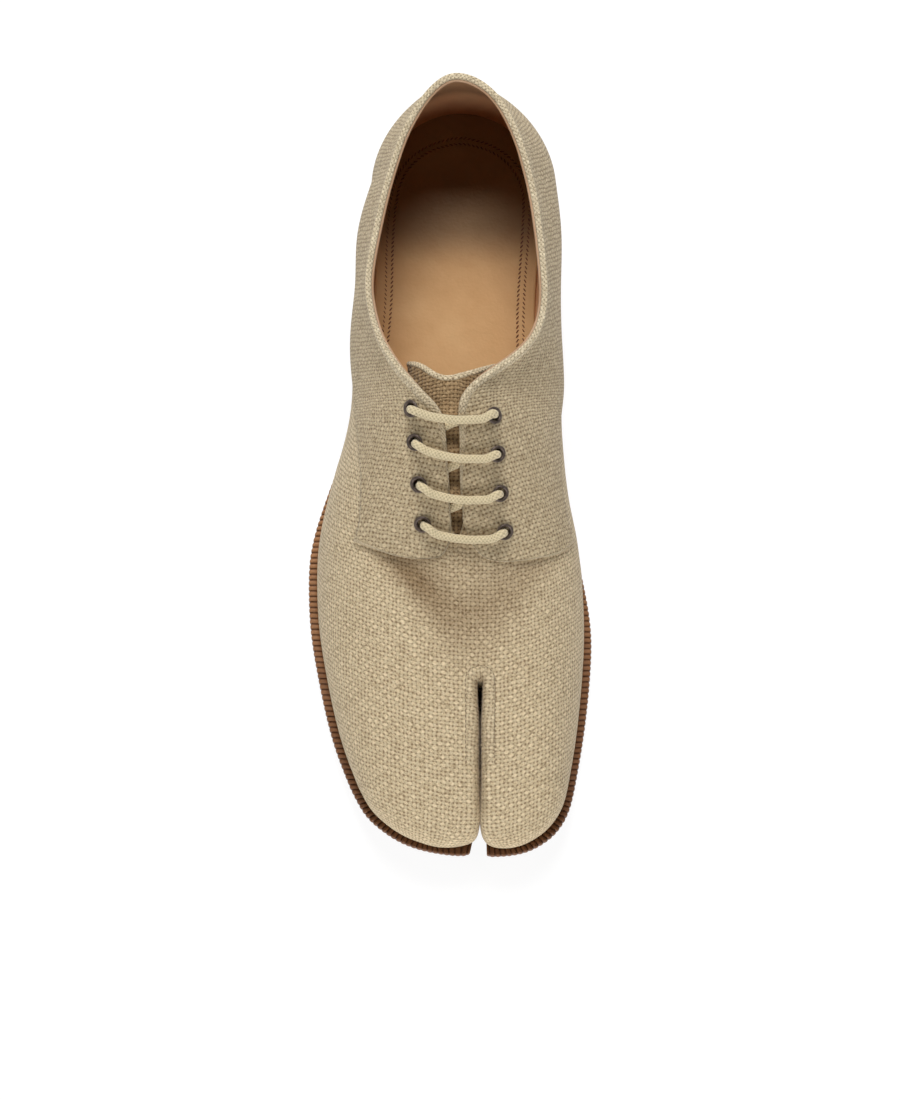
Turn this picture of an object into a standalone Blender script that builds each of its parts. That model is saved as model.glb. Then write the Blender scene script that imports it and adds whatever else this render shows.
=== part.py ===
"""Right tabi lace-up shoe: a linen upper with a split toe, on a welted leather sole with a stacked heel.

Metres, +Z up, the toe towards -Y, the heel towards +Y, the big-toe side towards +X. The tables are in
millimetres. The upper is a ring of ribs. Each rib is a curve from the feather line, where the upper meets the
sole, to the top line: the collar, the facings, or the ridge of the vamp and of the two toe lobes.
"""

import math

import bmesh
import bpy
import numpy as np
from mathutils import Vector

MM = 0.001

# Driving dimensions
WALL = 2.2
GAP = 0.3
OUTSOLE_THICK = 5.0
WELT_THICK = 3.0
INSOLE_THICK = 2.5
TONGUE_THICK = 1.8
TONGUE_CLEAR = 0.8

# Stations along the foot
HEEL_Y = 112.0
BREAST_Y = 88.0
WELT_END_Y = 84.0
THROAT_Y = -36.0
BRANCH_Y = -60.0
ROOT_Y = -86.0
TOE_Y = -122.0

# The split between the big toe and the other toes
SLIT_X = 11.6
SLIT_HALF = 1.2
SOLE_SLIT_HALF = 1.0

# Heel plan: middle, half widths and depths of the sole edge and of the collar
SOLE_HEEL = {"x": 4.25, "wide": 34.75, "deep": 37.0, "power": 2.0}
FEATHER_HEEL = {"x": 4.25, "wide": 33.55, "deep": 35.4, "power": 2.0}

# Eyelets and lace
EYELET_HOLE = 2.0
EYELET_BARREL = 2.45
EYELET_FLANGE = 3.3
EYELET_STANDS = 0.35
EYELET_TOP = 1.1
BARREL_DEEP = 1.7
LACE_RADIUS = 1.6
LACE_BOW = 2.0


def table(columns, *rows):
    """Rows of numbers as a dict of named columns."""
    return {name: np.array(column, float) for name, column in zip(columns.split(), zip(*rows))}


# Sole edge at each section, how far the feather line lies inside it, and how far the wall swells
SECTION = table(
    "y sole_lateral sole_medial inset_lateral inset_medial swell_lateral swell_medial",
    (112, -30.5, 39.0, 1.2, 1.2, 5.5, 11.5),
    (90, -32.6, 38.4, 1.8, 1.8, 13.5, 17),
    (70, -34.0, 38.0, 2.8, 2.8, 13, 18),
    (50, -36.0, 38.0, 3.0, 3.0, 14, 19),
    (30, -38.6, 39.2, 3.0, 3.0, 10, 22),
    (10, -43.0, 41.6, 3.0, 3.0, 8, 21),
    (-10, -50.0, 45.6, 3.4, 3.2, 6, 17),
    (-28, -54.9, 50.1, 4.0, 3.8, 4, 15.5),
    (-44, -55.6, 53.5, 4.2, 4.2, 4, 11),
    (-60, -54.6, 55.6, 4.2, 4.2, 4, 6),
    (-76, -52.0, 55.2, 4.2, 4.2, 4, 4.5),
    (-92, -48.6, 53.6, 4.2, 4.1, 4, 4),
    (-107, -44.4, 51.4, 4.2, 4.0, 4, 4),
    (-122, -38.6, 48.6, 4.2, 4.0, 4, 4),
)

# Underside of the outsole: forefoot flat on the floor, arch, heel seat and toe spring
UNDERSIDE = table(
    "y z",
    (149, 25.5),
    (115, 24.0),
    (85, 22.3),
    (60, 18.6),
    (30, 11.8),
    (0, 4.6),
    (-20, 0.7),
    (-34, -0.5),
    (-54, -0.8),
    (-76, -0.5),
    (-95, 0.7),
    (-120, 3.2),
    (-149, 7.6),
)

# Top line of the open part of the upper: facing edges, then collar
TOP_LINE = table(
    "y lateral_x lateral_z medial_x medial_z",
    (112, -20.9, 84.3, 28.6, 86.3),
    (100, -24.8, 81.0, 32.0, 82.8),
    (85, -28.5, 77.3, 34.7, 80.0),
    (70, -31.3, 75.2, 36.4, 78.0),
    (60, -31.9, 74.6, 37.0, 77.3),
    (50, -30.4, 75.1, 36.3, 77.8),
    (40, -27.4, 77.6, 33.0, 80.0),
    (32, -23.4, 81.0, 27.0, 83.3),
    (25, -18.9, 84.8, 18.6, 87.2),
    (18, -13.2, 88.6, 9.6, 90.6),
    (12, -7.9, 91.3, 5.0, 91.6),
    (6, -3.4, 90.0, 3.9, 90.0),
    (0, -1.4, 86.5, 3.6, 86.5),
    (-10, -0.5, 80.1, 3.7, 80.1),
    (-20, 0.3, 73.6, 4.0, 73.6),
    (-31, 1.2, 66.2, 4.5, 66.2),
    (-36, 2.9, 62.9, 2.9, 62.9),
)

# Ridge of the vamp, from the end of the throat to the point where the toes part
VAMP_RIDGE = table("y x z", (-36, 2.9, 62.9), (-44, 3.4, 58.6), (-52, 4.4, 54.6), (-60, 6.0, 51.2))
LATERAL_RIDGE = table(
    "y x z", (-60, 6.0, 51.2), (-72, -0.5, 47.0), (-86, -7.5, 43.6), (-104, -12.5, 40.2), (-122, -14.0, 35.6)
)
MEDIAL_RIDGE = table(
    "y x z", (-60, 6.0, 51.2), (-72, 14.0, 47.4), (-86, 22.0, 44.4), (-104, 28.0, 41.2), (-122, 30.0, 36.6)
)

# How a rib bends: height of its lower handle, reach of its upper handle, and fall of its upper end
FORM = table(
    "y rise crown drop",
    (112, 0.42, 0.40, 0.34),
    (40, 0.42, 0.45, 0.32),
    (22, 0.44, 0.50, 0.22),
    (8, 0.50, 0.52, 0.08),
    (-10, 0.56, 0.55, 0.02),
    (-36, 0.60, 0.58, 0.0),
    (-60, 0.62, 0.60, 0.0),
    (-86, 0.66, 0.60, 0.0),
    (-122, 0.72, 0.58, 0.0),
)
SLIT_FORM = {"rise": 1.0, "crown": 1.08, "weight": 2.2}
TOE_FORM = {"rise": 0.86, "crown": 0.58, "swell": 4.0}
HEEL_FORM = {"rise": 0.42, "crown": 0.40, "drop": 0.34}
HEEL_SWELL = table("turn swell", (0.0, 5.5), (0.8, 4.0), (1.57, 4.0), (2.4, 7.0), (3.1416, 11.5))
COLLAR_BACK = table(
    "turn x y z",
    (-1.0, -28.5, 85.0, 77.3),
    (-0.45, -24.8, 100.0, 81.0),
    (0.0, -20.9, 112.0, 84.3),
    (0.4, -16.9, 121.4, 87.0),
    (0.8, -10.8, 131.2, 89.7),
    (1.2, -4.0, 138.1, 91.4),
    (1.5708, 2.8, 140.4, 92.0),
    (1.94, 11.0, 138.1, 91.7),
    (2.34, 19.0, 131.2, 90.5),
    (2.74, 24.8, 121.4, 88.6),
    (3.1416, 28.6, 112.0, 86.3),
    (3.5916, 32.0, 100.0, 82.8),
    (4.1416, 34.7, 85.0, 80.0),
)

# Toe of each lobe, from its outer side round to the slit: edge of the sole, and feather line
LATERAL_TOE = table(
    "sole_x sole_y feather_x feather_y",
    (-38.6, -122.0, -34.4, -122.0),
    (-33.6, -131.3, -30.0, -129.8),
    (-27.9, -137.4, -24.8, -135.2),
    (-20.5, -142.6, -18.4, -139.8),
    (-11.8, -146.2, -10.6, -143.2),
    (-2.0, -148.2, -2.4, -145.0),
    (5.6, -148.6, 6.2, -144.0),
    (8.4, -146.4, 9.3, -140.6),
    (9.9, -138.0, 10.3, -133.6),
    (10.6, -122.0, 10.4, -122.0),
)
MEDIAL_TOE = table(
    "sole_x sole_y feather_x feather_y",
    (48.6, -122.0, 44.6, -122.0),
    (46.4, -130.5, 42.6, -129.4),
    (43.0, -137.2, 39.4, -135.2),
    (38.4, -142.2, 35.0, -139.8),
    (31.6, -146.4, 29.2, -143.4),
    (24.0, -148.5, 22.8, -145.2),
    (16.6, -149.0, 16.4, -144.6),
    (13.7, -147.2, 13.8, -140.8),
    (13.1, -138.0, 12.9, -133.6),
    (12.6, -122.0, 12.8, -122.0),
)

# Eyelets, front row last: plan positions on the facings
EYELET = table(
    "lateral_x lateral_y medial_x medial_y",
    (-14.2, 9.7, 16.5, 7.6),
    (-12.9, -2.1, 17.8, -5.7),
    (-11.5, -16.4, 19.0, -19.1),
    (-10.1, -29.9, 20.8, -32.0),
)


def spline(knots, values, x):
    """Natural cubic spline through the knots, read at x."""
    order = np.argsort(knots)
    k = np.asarray(knots, float)[order]
    v = np.asarray(values, float)[order]
    n = len(k)
    h = np.diff(k)
    a = np.eye(n)
    b = np.zeros(n)
    for i in range(1, n - 1):
        a[i, i - 1 : i + 2] = h[i - 1], 2 * (h[i - 1] + h[i]), h[i]
        b[i] = 6 * ((v[i + 1] - v[i]) / h[i] - (v[i] - v[i - 1]) / h[i - 1])
    m = np.linalg.solve(a, b)
    x = np.asarray(x, float)
    i = np.clip(np.searchsorted(k, x) - 1, 0, n - 2)
    past = x - k[i]
    left = k[i + 1] - x
    w = h[i]
    bend = (m[i] * left**3 + m[i + 1] * past**3) / (6 * w)
    return bend + (v[i] / w - m[i] * w / 6) * left + (v[i + 1] / w - m[i + 1] * w / 6) * past


def column(rows, name, y):
    """One column of a table of sections, at y."""
    return spline(rows["y"], rows[name], y)


def underside(y):
    return np.maximum(column(UNDERSIDE, "z", y), 0.0)


def seat(y):
    """Top of the outsole."""
    return underside(y) + OUTSOLE_THICK


def sole_x(side, y):
    return column(SECTION, "sole_" + side, y)


def feather_x(side, y):
    outward = -1 if side == "lateral" else 1
    return sole_x(side, y) - outward * column(SECTION, "inset_" + side, y)


def top_point(side, y):
    """Outer top line at y: collar, facing edge, vamp ridge or lobe ridge."""
    y = np.asarray(y, float)
    lobe = LATERAL_RIDGE if side == "lateral" else MEDIAL_RIDGE
    is_open = y >= THROAT_Y
    on_vamp = y >= BRANCH_Y
    x = np.where(on_vamp, column(VAMP_RIDGE, "x", y), column(lobe, "x", y))
    z = np.where(on_vamp, column(VAMP_RIDGE, "z", y), column(lobe, "z", y))
    x = np.where(is_open, column(TOP_LINE, side + "_x", y), x)
    z = np.where(is_open, column(TOP_LINE, side + "_z", y), z)
    return np.stack([x, y, z], -1)


def ridge_slope(side, y):
    """Plan direction of the ridge towards the toe, and its fall along that direction."""
    step = 0.5
    run = top_point(side, y - step) - top_point(side, y + step)
    length = np.linalg.norm(run[..., :2], axis=-1, keepdims=True)
    return run[..., :2] / length, run[..., 2:] / length


def bend_rib(foot, top, rise, crown, drop, swell, weight, tilt, t):
    """Rational cubic from foot to top. Shapes: foot, top and swell (n, 3), the rest (n,), t (m,).

    The lower handle goes up by rise of the height and out by swell. The upper handle goes back towards the
    foot by crown of the plan distance, and falls by drop of the height, plus tilt, the slope of the ridge.
    """
    high = top[:, 2] - foot[:, 2]
    lower = foot + swell
    lower[:, 2] += rise * (high + tilt)
    upper = top + (foot - top) * np.array([1, 1, 0]) * crown[:, None]
    upper[:, 2] += tilt - drop * high
    t = t[None, :, None]
    w = weight[:, None, None]
    blend = [(1 - t) ** 3, 3 * w * t * (1 - t) ** 2, 3 * w * t**2 * (1 - t), t**3]
    points = sum(b * p[:, None, :] for b, p in zip(blend, (foot, lower, upper, top)))
    return points / sum(blend)


def side_ribs(side, y, t):
    """Ribs in planes across the foot, from the feather line to the top line."""
    y = np.asarray(y, float)
    outward = -1.0 if side == "lateral" else 1.0
    foot = np.stack([feather_x(side, y), y, seat(y) + GAP], -1)
    swell = np.zeros_like(foot)
    swell[:, 0] = outward * column(SECTION, "swell_" + side, y)
    rise, crown, drop = (column(FORM, name, y) for name in ("rise", "crown", "drop"))
    flat = np.zeros(len(y))
    return bend_rib(foot, top_point(side, y), rise, crown, np.maximum(drop, 0), swell, flat + 1, flat, t)


def along_toe(rows, name, share):
    """A toe table's column by share of its way round, 0 to 1."""
    return spline(np.linspace(0, 1, len(rows["sole_x"])), rows[name], share)


def toe_ribs(side, share, t):
    """Ribs that fan out from the end of a lobe's ridge, round its toe."""
    rows = LATERAL_TOE if side == "lateral" else MEDIAL_TOE
    plan = np.stack([along_toe(rows, "feather_x", share), along_toe(rows, "feather_y", share)], -1)
    foot = np.column_stack([plan, seat(plan[:, 1]) + GAP])
    top = np.repeat(top_point(side, np.array([TOE_Y])), len(share), 0)
    return ridge_rib_curves(side, foot, top, np.full(len(share), TOE_Y), slit_share(share), t)


def slit_share(share):
    """0 on the outer side of a lobe, 1 on its slit side, changing round the inner corner of the toe."""
    s = np.clip((share - 0.55) / 0.35, 0, 1)
    return s * s * (3 - 2 * s)


def ridge_rib_curves(side, foot, top, y, slit, t):
    """Ribs down from a ridge, between the toe's form (slit 0) and the slit wall's form (slit 1)."""
    away = foot[:, :2] - top[:, :2]
    reach = np.linalg.norm(away, axis=1, keepdims=True)
    swell = np.column_stack([away / reach * TOE_FORM["swell"] * (1 - slit)[:, None], np.zeros(len(foot))])
    forward, fall = ridge_slope(side, y)
    crown = TOE_FORM["crown"] + slit * (SLIT_FORM["crown"] - TOE_FORM["crown"])
    rise = TOE_FORM["rise"] + slit * (SLIT_FORM["rise"] - TOE_FORM["rise"])
    weight = 1 + slit * (SLIT_FORM["weight"] - 1)
    tilt = np.sum(away * forward, axis=1) * fall[:, 0] * crown
    return bend_rib(foot, top, rise, crown, np.zeros(len(foot)), swell, weight, tilt, t)


def slit_plan(side, y, half):
    """Slit wall at ridge stations y: straight along the slit, then round its root back to the branch."""
    outward = -1.0 if side == "lateral" else 1.0
    turn = np.clip((y - ROOT_Y) / (BRANCH_Y - ROOT_Y), 0, 1) * math.pi / 2
    return np.stack([SLIT_X + outward * half * np.cos(turn), np.minimum(y, ROOT_Y) + half * np.sin(turn)], -1)


def slit_ribs(side, y, t):
    """Ribs from the slit wall up to the lobe's ridge."""
    plan = slit_plan(side, y, SLIT_HALF)
    foot = np.column_stack([plan, seat(plan[:, 1]) + GAP])
    past_branch = np.minimum(y, BRANCH_Y - 1.0)
    return ridge_rib_curves(side, foot, top_point(side, y), past_branch, np.ones(len(y)), t)


def oval(form, turn):
    """Half an oval behind HEEL_Y, from the lateral side (turn 0) round to the medial side (turn pi)."""
    c = np.cos(turn)
    s = np.sin(turn)
    x = form["x"] - form["wide"] * np.sign(c) * np.abs(c) ** (2 / form["power"])
    return np.stack([x, HEEL_Y + form["deep"] * np.abs(s) ** (2 / form["power"])], -1)


def heel_ribs(turn, t):
    """Ribs round the back of the heel."""
    plan = oval(FEATHER_HEEL, turn)
    foot = np.column_stack([plan, seat(plan[:, 1]) + GAP])
    top = np.column_stack([spline(COLLAR_BACK["turn"], COLLAR_BACK[name], turn) for name in ("x", "y", "z")])
    away = foot[:, :2] - top[:, :2]
    bulge = spline(HEEL_SWELL["turn"], HEEL_SWELL["swell"], turn) / np.linalg.norm(away, axis=1)
    swell = np.column_stack([away * bulge[:, None], np.zeros(len(turn))])
    flat = np.zeros(len(turn))
    rise, crown, drop = (flat + HEEL_FORM[name] for name in ("rise", "crown", "drop"))
    return bend_rib(foot, top, rise, crown, drop, swell, flat + 1, flat, t)


def steps(*legs):
    """Stations along the foot: (from, to, count) legs, each without its last station."""
    return np.concatenate([np.linspace(a, b, n, endpoint=False) for a, b, n in legs])


SIDE_Y = steps((112, 40, 8), (40, 12, 8), (12, -36, 9), (-36, -60, 4), (-60, -86, 4), (-86, -122, 5))
SLIT_Y = np.concatenate([steps((-122, -86, 5), (-86, -60, 4))])
TOE_SHARE = np.linspace(0, 1, 13)[:-1]
HEEL_TURN = np.linspace(0, math.pi, 15)[1:-1]


def ring_ribs(t):
    """All ribs of the upper, in order round the shoe from the lateral side of the heel."""
    lateral = [side_ribs("lateral", SIDE_Y, t), toe_ribs("lateral", TOE_SHARE, t)]
    lateral.append(slit_ribs("lateral", SLIT_Y, t))
    branch = slit_ribs("lateral", np.array([BRANCH_Y]), t)
    toe_back = np.append(TOE_SHARE[1:], 1.0)[::-1]
    medial = [slit_ribs("medial", SLIT_Y[::-1], t), toe_ribs("medial", toe_back, t)]
    back = side_ribs("medial", np.append(SIDE_Y, TOE_Y)[::-1], t)
    return np.concatenate(lateral + [branch] + medial + [back, heel_ribs(HEEL_TURN[::-1], t)])


def ring_plan(edge, inset_slit):
    """Plan loops (outline, spine) of a bottom piece, in the ribs' order. edge is 'sole' or 'feather'."""
    read = sole_x if edge == "sole" else feather_x
    heel = SOLE_HEEL if edge == "sole" else FEATHER_HEEL
    outline = []
    spine = []
    for side, rows in (("lateral", LATERAL_TOE), ("medial", MEDIAL_TOE)):
        toe_share = np.append(TOE_SHARE[1:], 1.0)[:-1]
        toe = np.stack([along_toe(rows, edge + "_x", toe_share), along_toe(rows, edge + "_y", toe_share)], -1)
        side_y = np.append(SIDE_Y, TOE_Y)
        flank = np.stack([read(side, side_y), side_y], -1)
        centre = np.stack([np.full(len(side_y), 4.0), side_y], -1)
        mid = np.where(side_y[:, None] > BRANCH_Y, centre, top_point(side, side_y)[:, :2])
        slit = slit_plan(side, np.append(SLIT_Y, BRANCH_Y), inset_slit)
        slit_top = top_point(side, np.append(SLIT_Y, BRANCH_Y))[:, :2]
        end = np.repeat(mid[-1:], len(toe), 0)
        outline.append(np.concatenate([flank, toe, slit]))
        spine.append(np.concatenate([mid, end, slit_top]))
    back = oval(heel, HEEL_TURN[::-1])
    middle = np.repeat([[4.0, HEEL_Y]], len(back), 0)
    loop = np.concatenate([outline[0], outline[1][::-1][1:], back])
    core = np.concatenate([spine[0], spine[1][::-1][1:], middle])
    return loop, core


def ring_faces(ribs, across):
    """Quads between neighbouring ribs of a closed ring, each of `across` points."""
    a = np.arange(ribs)[:, None] * across
    b = (np.arange(ribs)[:, None] + 1) % ribs * across
    k = np.arange(across - 1)[None, :]
    return np.stack([a + k, b + k, b + k + 1, a + k + 1], -1).reshape(-1, 4)


def new_object(name, points, faces, material, collection):
    """A mesh object from points in millimetres. Doubles are merged and the faces turned outwards."""
    mesh = bpy.data.meshes.new(name)
    mesh.from_pydata((np.asarray(points).reshape(-1, 3) * MM).tolist(), [], np.asarray(faces).tolist())
    work = bmesh.new()
    work.from_mesh(mesh)
    bmesh.ops.remove_doubles(work, verts=work.verts, dist=1e-6)
    bmesh.ops.dissolve_degenerate(work, edges=work.edges, dist=1e-6)
    bmesh.ops.recalc_face_normals(work, faces=work.faces)
    work.to_mesh(mesh)
    work.free()
    if material:
        mesh.materials.append(material)
    made = bpy.data.objects.new(name, mesh)
    collection.objects.link(made)
    return made


def plain_material(name, colour, roughness, metallic=0.0):
    made = bpy.data.materials.new(name)
    made.use_nodes = True
    shader = made.node_tree.nodes["Principled BSDF"]
    shader.inputs["Base Color"].default_value = (*colour, 1.0)
    shader.inputs["Roughness"].default_value = roughness
    shader.inputs["Metallic"].default_value = metallic
    return made


def plate(name, outline, spine, low, high, material):
    """A plate between two heights, as functions of y, its faces in strips from the outline to the spine."""
    shares = np.linspace(0, 1, 3)[None, :, None]
    plan = outline[:, None, :] * (1 - shares) + spine[:, None, :] * shares
    across = plan.shape[1]
    bottom = np.dstack([plan, low(plan[..., 1])])
    top = np.dstack([plan, high(plan[..., 1])])
    count = len(outline) * across
    sheet = ring_faces(len(outline), across)
    i = np.arange(len(outline)) * across
    j = np.roll(i, -1)
    wall = np.stack([i, j, j + count, i + count], -1)
    faces = np.concatenate([sheet, sheet[:, ::-1] + count, wall])
    points = np.concatenate([bottom.reshape(-1, 3), top.reshape(-1, 3)])
    return new_object(name, points, faces, material, parts)


def outward_of(loop):
    """Unit normals of an anticlockwise closed plan loop, pointing out."""
    run = np.roll(loop, -1, 0) - np.roll(loop, 1, 0)
    run /= np.linalg.norm(run, axis=1, keepdims=True)
    return np.stack([run[:, 1], -run[:, 0]], -1)


for old in list(bpy.data.objects):
    bpy.data.objects.remove(old, do_unlink=True)
scene_collection = bpy.context.scene.collection
parts = bpy.data.collections.new("tabi_lace_up_shoe")
scene_collection.children.link(parts)

linen = plain_material("linen", (0.50, 0.41, 0.26), 0.9)
tongue_linen = plain_material("tongue_linen", (0.50, 0.41, 0.26), 0.9)
insole_leather = plain_material("insole_leather", (0.42, 0.23, 0.10), 0.6)
sole_leather = plain_material("sole_leather", (0.20, 0.09, 0.04), 0.5)

# Outsole
sole_loop, sole_core = ring_plan("sole", SOLE_SLIT_HALF)
plate("outsole", sole_loop, sole_core, underside, seat, sole_leather)

# Insole: inside the upper's wall, on the outsole
feather_loop, feather_core = ring_plan("feather", SLIT_HALF)
inner_loop = feather_loop - outward_of(feather_loop) * (WALL + GAP + 0.2)
plate(
    "insole",
    inner_loop,
    feather_core,
    lambda y: seat(y) + GAP,
    lambda y: seat(y) + GAP + INSOLE_THICK,
    insole_leather,
)

# Upper: ring of ribs, thickened inwards
RIB_T = np.linspace(0, 1, 9)
ribs = ring_ribs(RIB_T)
upper = new_object("upper", ribs, ring_faces(len(ribs), len(RIB_T)), linen, parts)
shell = upper.modifiers.new("wall", "SOLIDIFY")
shell.thickness = WALL * MM
shell.offset = -1
shell.use_even_offset = True

# Openings for the eyelets
cutters = bpy.data.collections.new("cutters")
scene_collection.children.link(cutters)


def surface_z(side, x, y):
    """Height of the upper's outer face over a plan point near the throat."""
    rib = side_ribs(side, np.array([y]), np.linspace(0.4, 1, 120))[0]
    order = np.argsort(rib[:, 0])
    return float(np.interp(x, rib[order, 0], rib[order, 2]))


def surface_normal(side, x, y):
    """Unit outward normal of the upper over a plan point."""
    step = 0.5
    along_x = (surface_z(side, x + step, y) - surface_z(side, x - step, y)) / (2 * step)
    along_y = (surface_z(side, x, y + step) - surface_z(side, x, y - step)) / (2 * step)
    normal = np.array([-along_x, -along_y, 1.0])
    return normal / np.linalg.norm(normal)


def revolve(profile, centre, axis, segments=14):
    """Points and faces of a closed (radius, height) profile turned about an axis through centre."""
    turn = Vector((0, 0, 1)).rotation_difference(Vector(axis)).to_matrix()
    angle = np.arange(segments) / segments * 2 * math.pi
    radius = profile[None, :, 0]
    high = np.repeat(profile[None, :, 1], segments, 0)
    flat = np.dstack([radius * np.cos(angle)[:, None], radius * np.sin(angle)[:, None], high])
    points = flat.reshape(-1, 3) @ np.array(turn).T + centre
    count = len(profile)
    a = np.arange(segments)[:, None] * count
    b = (np.arange(segments)[:, None] + 1) % segments * count
    k = np.arange(count)[None, :]
    n = (k + 1) % count
    return points, np.stack([a + k, b + k, b + n, a + n], -1).reshape(-1, 4)


RING_PROFILE = np.array([
    (EYELET_HOLE, -BARREL_DEEP),
    (EYELET_BARREL, -BARREL_DEEP),
    (EYELET_BARREL, EYELET_STANDS),
    (EYELET_FLANGE, EYELET_STANDS),
    (EYELET_FLANGE - 0.15, EYELET_TOP - 0.25),
    (EYELET_FLANGE - 0.6, EYELET_TOP),
    (EYELET_HOLE + 0.15, EYELET_TOP - 0.15),
])

gunmetal = plain_material("gunmetal", (0.05, 0.045, 0.045), 0.4, 1.0)
eyelets = {}
for side in ("lateral", "medial"):
    for row in range(len(EYELET["lateral_x"])):
        x = EYELET[side + "_x"][row]
        y = EYELET[side + "_y"][row]
        centre = np.array([x, y, surface_z(side, x, y)])
        axis = surface_normal(side, x, y)
        eyelets[side, row] = centre, axis
        points, faces = revolve(RING_PROFILE, centre, axis)
        new_object(f"eyelet_{side}_{row + 1}", points, faces, gunmetal, parts)
        bpy.ops.mesh.primitive_cylinder_add(
            vertices=14,
            radius=(EYELET_BARREL + GAP) * MM,
            depth=12 * MM,
            location=Vector(centre * MM),
            rotation=Vector(axis).to_track_quat("Z", "Y").to_euler(),
        )
        cutter = bpy.context.object
        cutter.name = f"hole_{side}_{row + 1}"
        cutter.hide_render = True
        cutter.display_type = "WIRE"
        for home in list(cutter.users_collection):
            home.objects.unlink(cutter)
        cutters.objects.link(cutter)
        cut = upper.modifiers.new(cutter.name, "BOOLEAN")
        cut.object = cutter
        cut.operation = "DIFFERENCE"
        cut.solver = "EXACT"

# Tongue: under the facings, its free end curved towards the toe in the middle
TONGUE_LOW_Y = -52.0
TONGUE_FREE_Y = 7.0
TONGUE_TOP_Y = 22.5
TONGUE_SLOPE = 0.24
TONGUE_DROOP = 1.7
TONGUE_HALF = 20.0
TONGUE_CORNER = 7.0


def arch_z(x, y):
    """Height of the upper's outer face, bridged across the throat and carried on above the facings."""
    on_y = min(y, TONGUE_FREE_Y)
    ends = [top_point(side, np.array([on_y]))[0] for side in ("lateral", "medial")]
    if x <= ends[0][0]:
        z = surface_z("lateral", x, on_y)
    elif x >= ends[1][0]:
        z = surface_z("medial", x, on_y)
    else:
        share = (x - ends[0][0]) / max(ends[1][0] - ends[0][0], 1e-6)
        z = ends[0][2] + (ends[1][2] - ends[0][2]) * share
    side = min(abs(x - 1.4) / TONGUE_HALF, 1.2)
    return z + TONGUE_SLOPE * (1 - TONGUE_DROOP * side * side) * (y - on_y)


tongue_rows = np.linspace(0, 1, 15)
tongue_columns = np.linspace(-1, 1, 9)
tongue = np.zeros((len(tongue_rows), len(tongue_columns), 3))
for i, along in enumerate(tongue_rows):
    for j, across in enumerate(tongue_columns):
        end_y = TONGUE_TOP_Y + TONGUE_CORNER * across**2
        y = TONGUE_LOW_Y + (end_y - TONGUE_LOW_Y) * along
        middle = 4.0 - 2.6 * along
        x = middle + across * (TONGUE_HALF - 3.0 + 3.0 * along)
        tongue[i, j] = x, y, arch_z(x, y)
tilt = np.cross(np.gradient(tongue, axis=1), np.gradient(tongue, axis=0))
tilt /= np.linalg.norm(tilt, axis=2, keepdims=True)
tongue -= tilt * np.sign(tilt[..., 2:]) * (WALL + TONGUE_CLEAR)
i, j = np.meshgrid(np.arange(len(tongue_rows) - 1), np.arange(len(tongue_columns) - 1), indexing="ij")
corner = (i * len(tongue_columns) + j).reshape(-1)
wide = len(tongue_columns)
tongue_faces = np.stack([corner, corner + 1, corner + wide + 1, corner + wide], -1)
tongue_piece = new_object("tongue", tongue, tongue_faces, tongue_linen, parts)
if tongue_piece.data.polygons[0].normal.z < 0:
    tongue_piece.data.flip_normals()
flap = tongue_piece.modifiers.new("thickness", "SOLIDIFY")
flap.thickness = TONGUE_THICK * MM
flap.offset = -1

# Welt strips: on the outsole's margin, thinner under the waist
welt_leather = plain_material("welt_leather", (0.27, 0.12, 0.05), 0.55)
WELT_WAIST_THICK = 1.3
WELT_LEAN = table(
    "y lean",
    (90, 0.6),
    (50, 0.75),
    (20, 0.75),
    (0, 0.62),
    (-20, 0.58),
    (-44, 0.42),
    (-64, 0.22),
    (-149, 0.12),
)


def welt_thickness(y):
    share = np.clip((25 - y) / 45, 0, 1)
    return WELT_WAIST_THICK + (WELT_THICK - WELT_WAIST_THICK) * share * share * (3 - 2 * share)


def strip(name, inner, outer, material):
    """A strip with a four-cornered section between two plan paths, lying on the outsole."""
    inner_low = np.column_stack([inner, seat(inner[:, 1]) + GAP])
    outer_low = np.column_stack([outer, seat(outer[:, 1]) + GAP])
    rise = np.column_stack([np.zeros((len(inner), 2)), welt_thickness(inner[:, 1])])
    rows = np.stack([inner_low, outer_low, outer_low + rise, inner_low + rise], 1)
    return new_object(name, rows, tube_faces(len(rows), 4), material, parts)


def tube_faces(rows, around):
    """Faces of an open tube of cross-sections, with both ends closed."""
    a = np.arange(rows - 1)[:, None] * around
    k = np.arange(around)[None, :]
    n = (k + 1) % around
    sides = np.stack([a + k, a + n, a + around + n, a + around + k], -1).reshape(-1, 4).tolist()
    last = (rows - 1) * around
    return sides + [list(range(around))[::-1], list(range(last, last + around))]


feather_out = outward_of(feather_loop)
lean = spline(WELT_LEAN["y"], WELT_LEAN["lean"], feather_loop[:, 1]) * welt_thickness(feather_loop[:, 1])
welt_inner = feather_loop + feather_out * (GAP + 0.15 + np.maximum(lean, 0))[:, None]
welt_outer = sole_loop - outward_of(sole_loop) * 0.2
WELT_TOE_POINTS = 9
toe_points = len(TOE_SHARE) - 1
flank_points = np.count_nonzero(np.append(SIDE_Y, TOE_Y) <= WELT_END_Y)
first = len(SIDE_Y) + 1 - flank_points
stretch = slice(first, len(SIDE_Y) + 1 + WELT_TOE_POINTS)
strip("welt_lateral", welt_inner[stretch], welt_outer[stretch], welt_leather)
medial_toe = len(SIDE_Y) + 1 + toe_points + 2 * len(SLIT_Y) + 1
stretch = slice(medial_toe + toe_points - WELT_TOE_POINTS, medial_toe + toe_points + flank_points)
strip("welt_medial", welt_inner[stretch], welt_outer[stretch], welt_leather)

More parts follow.
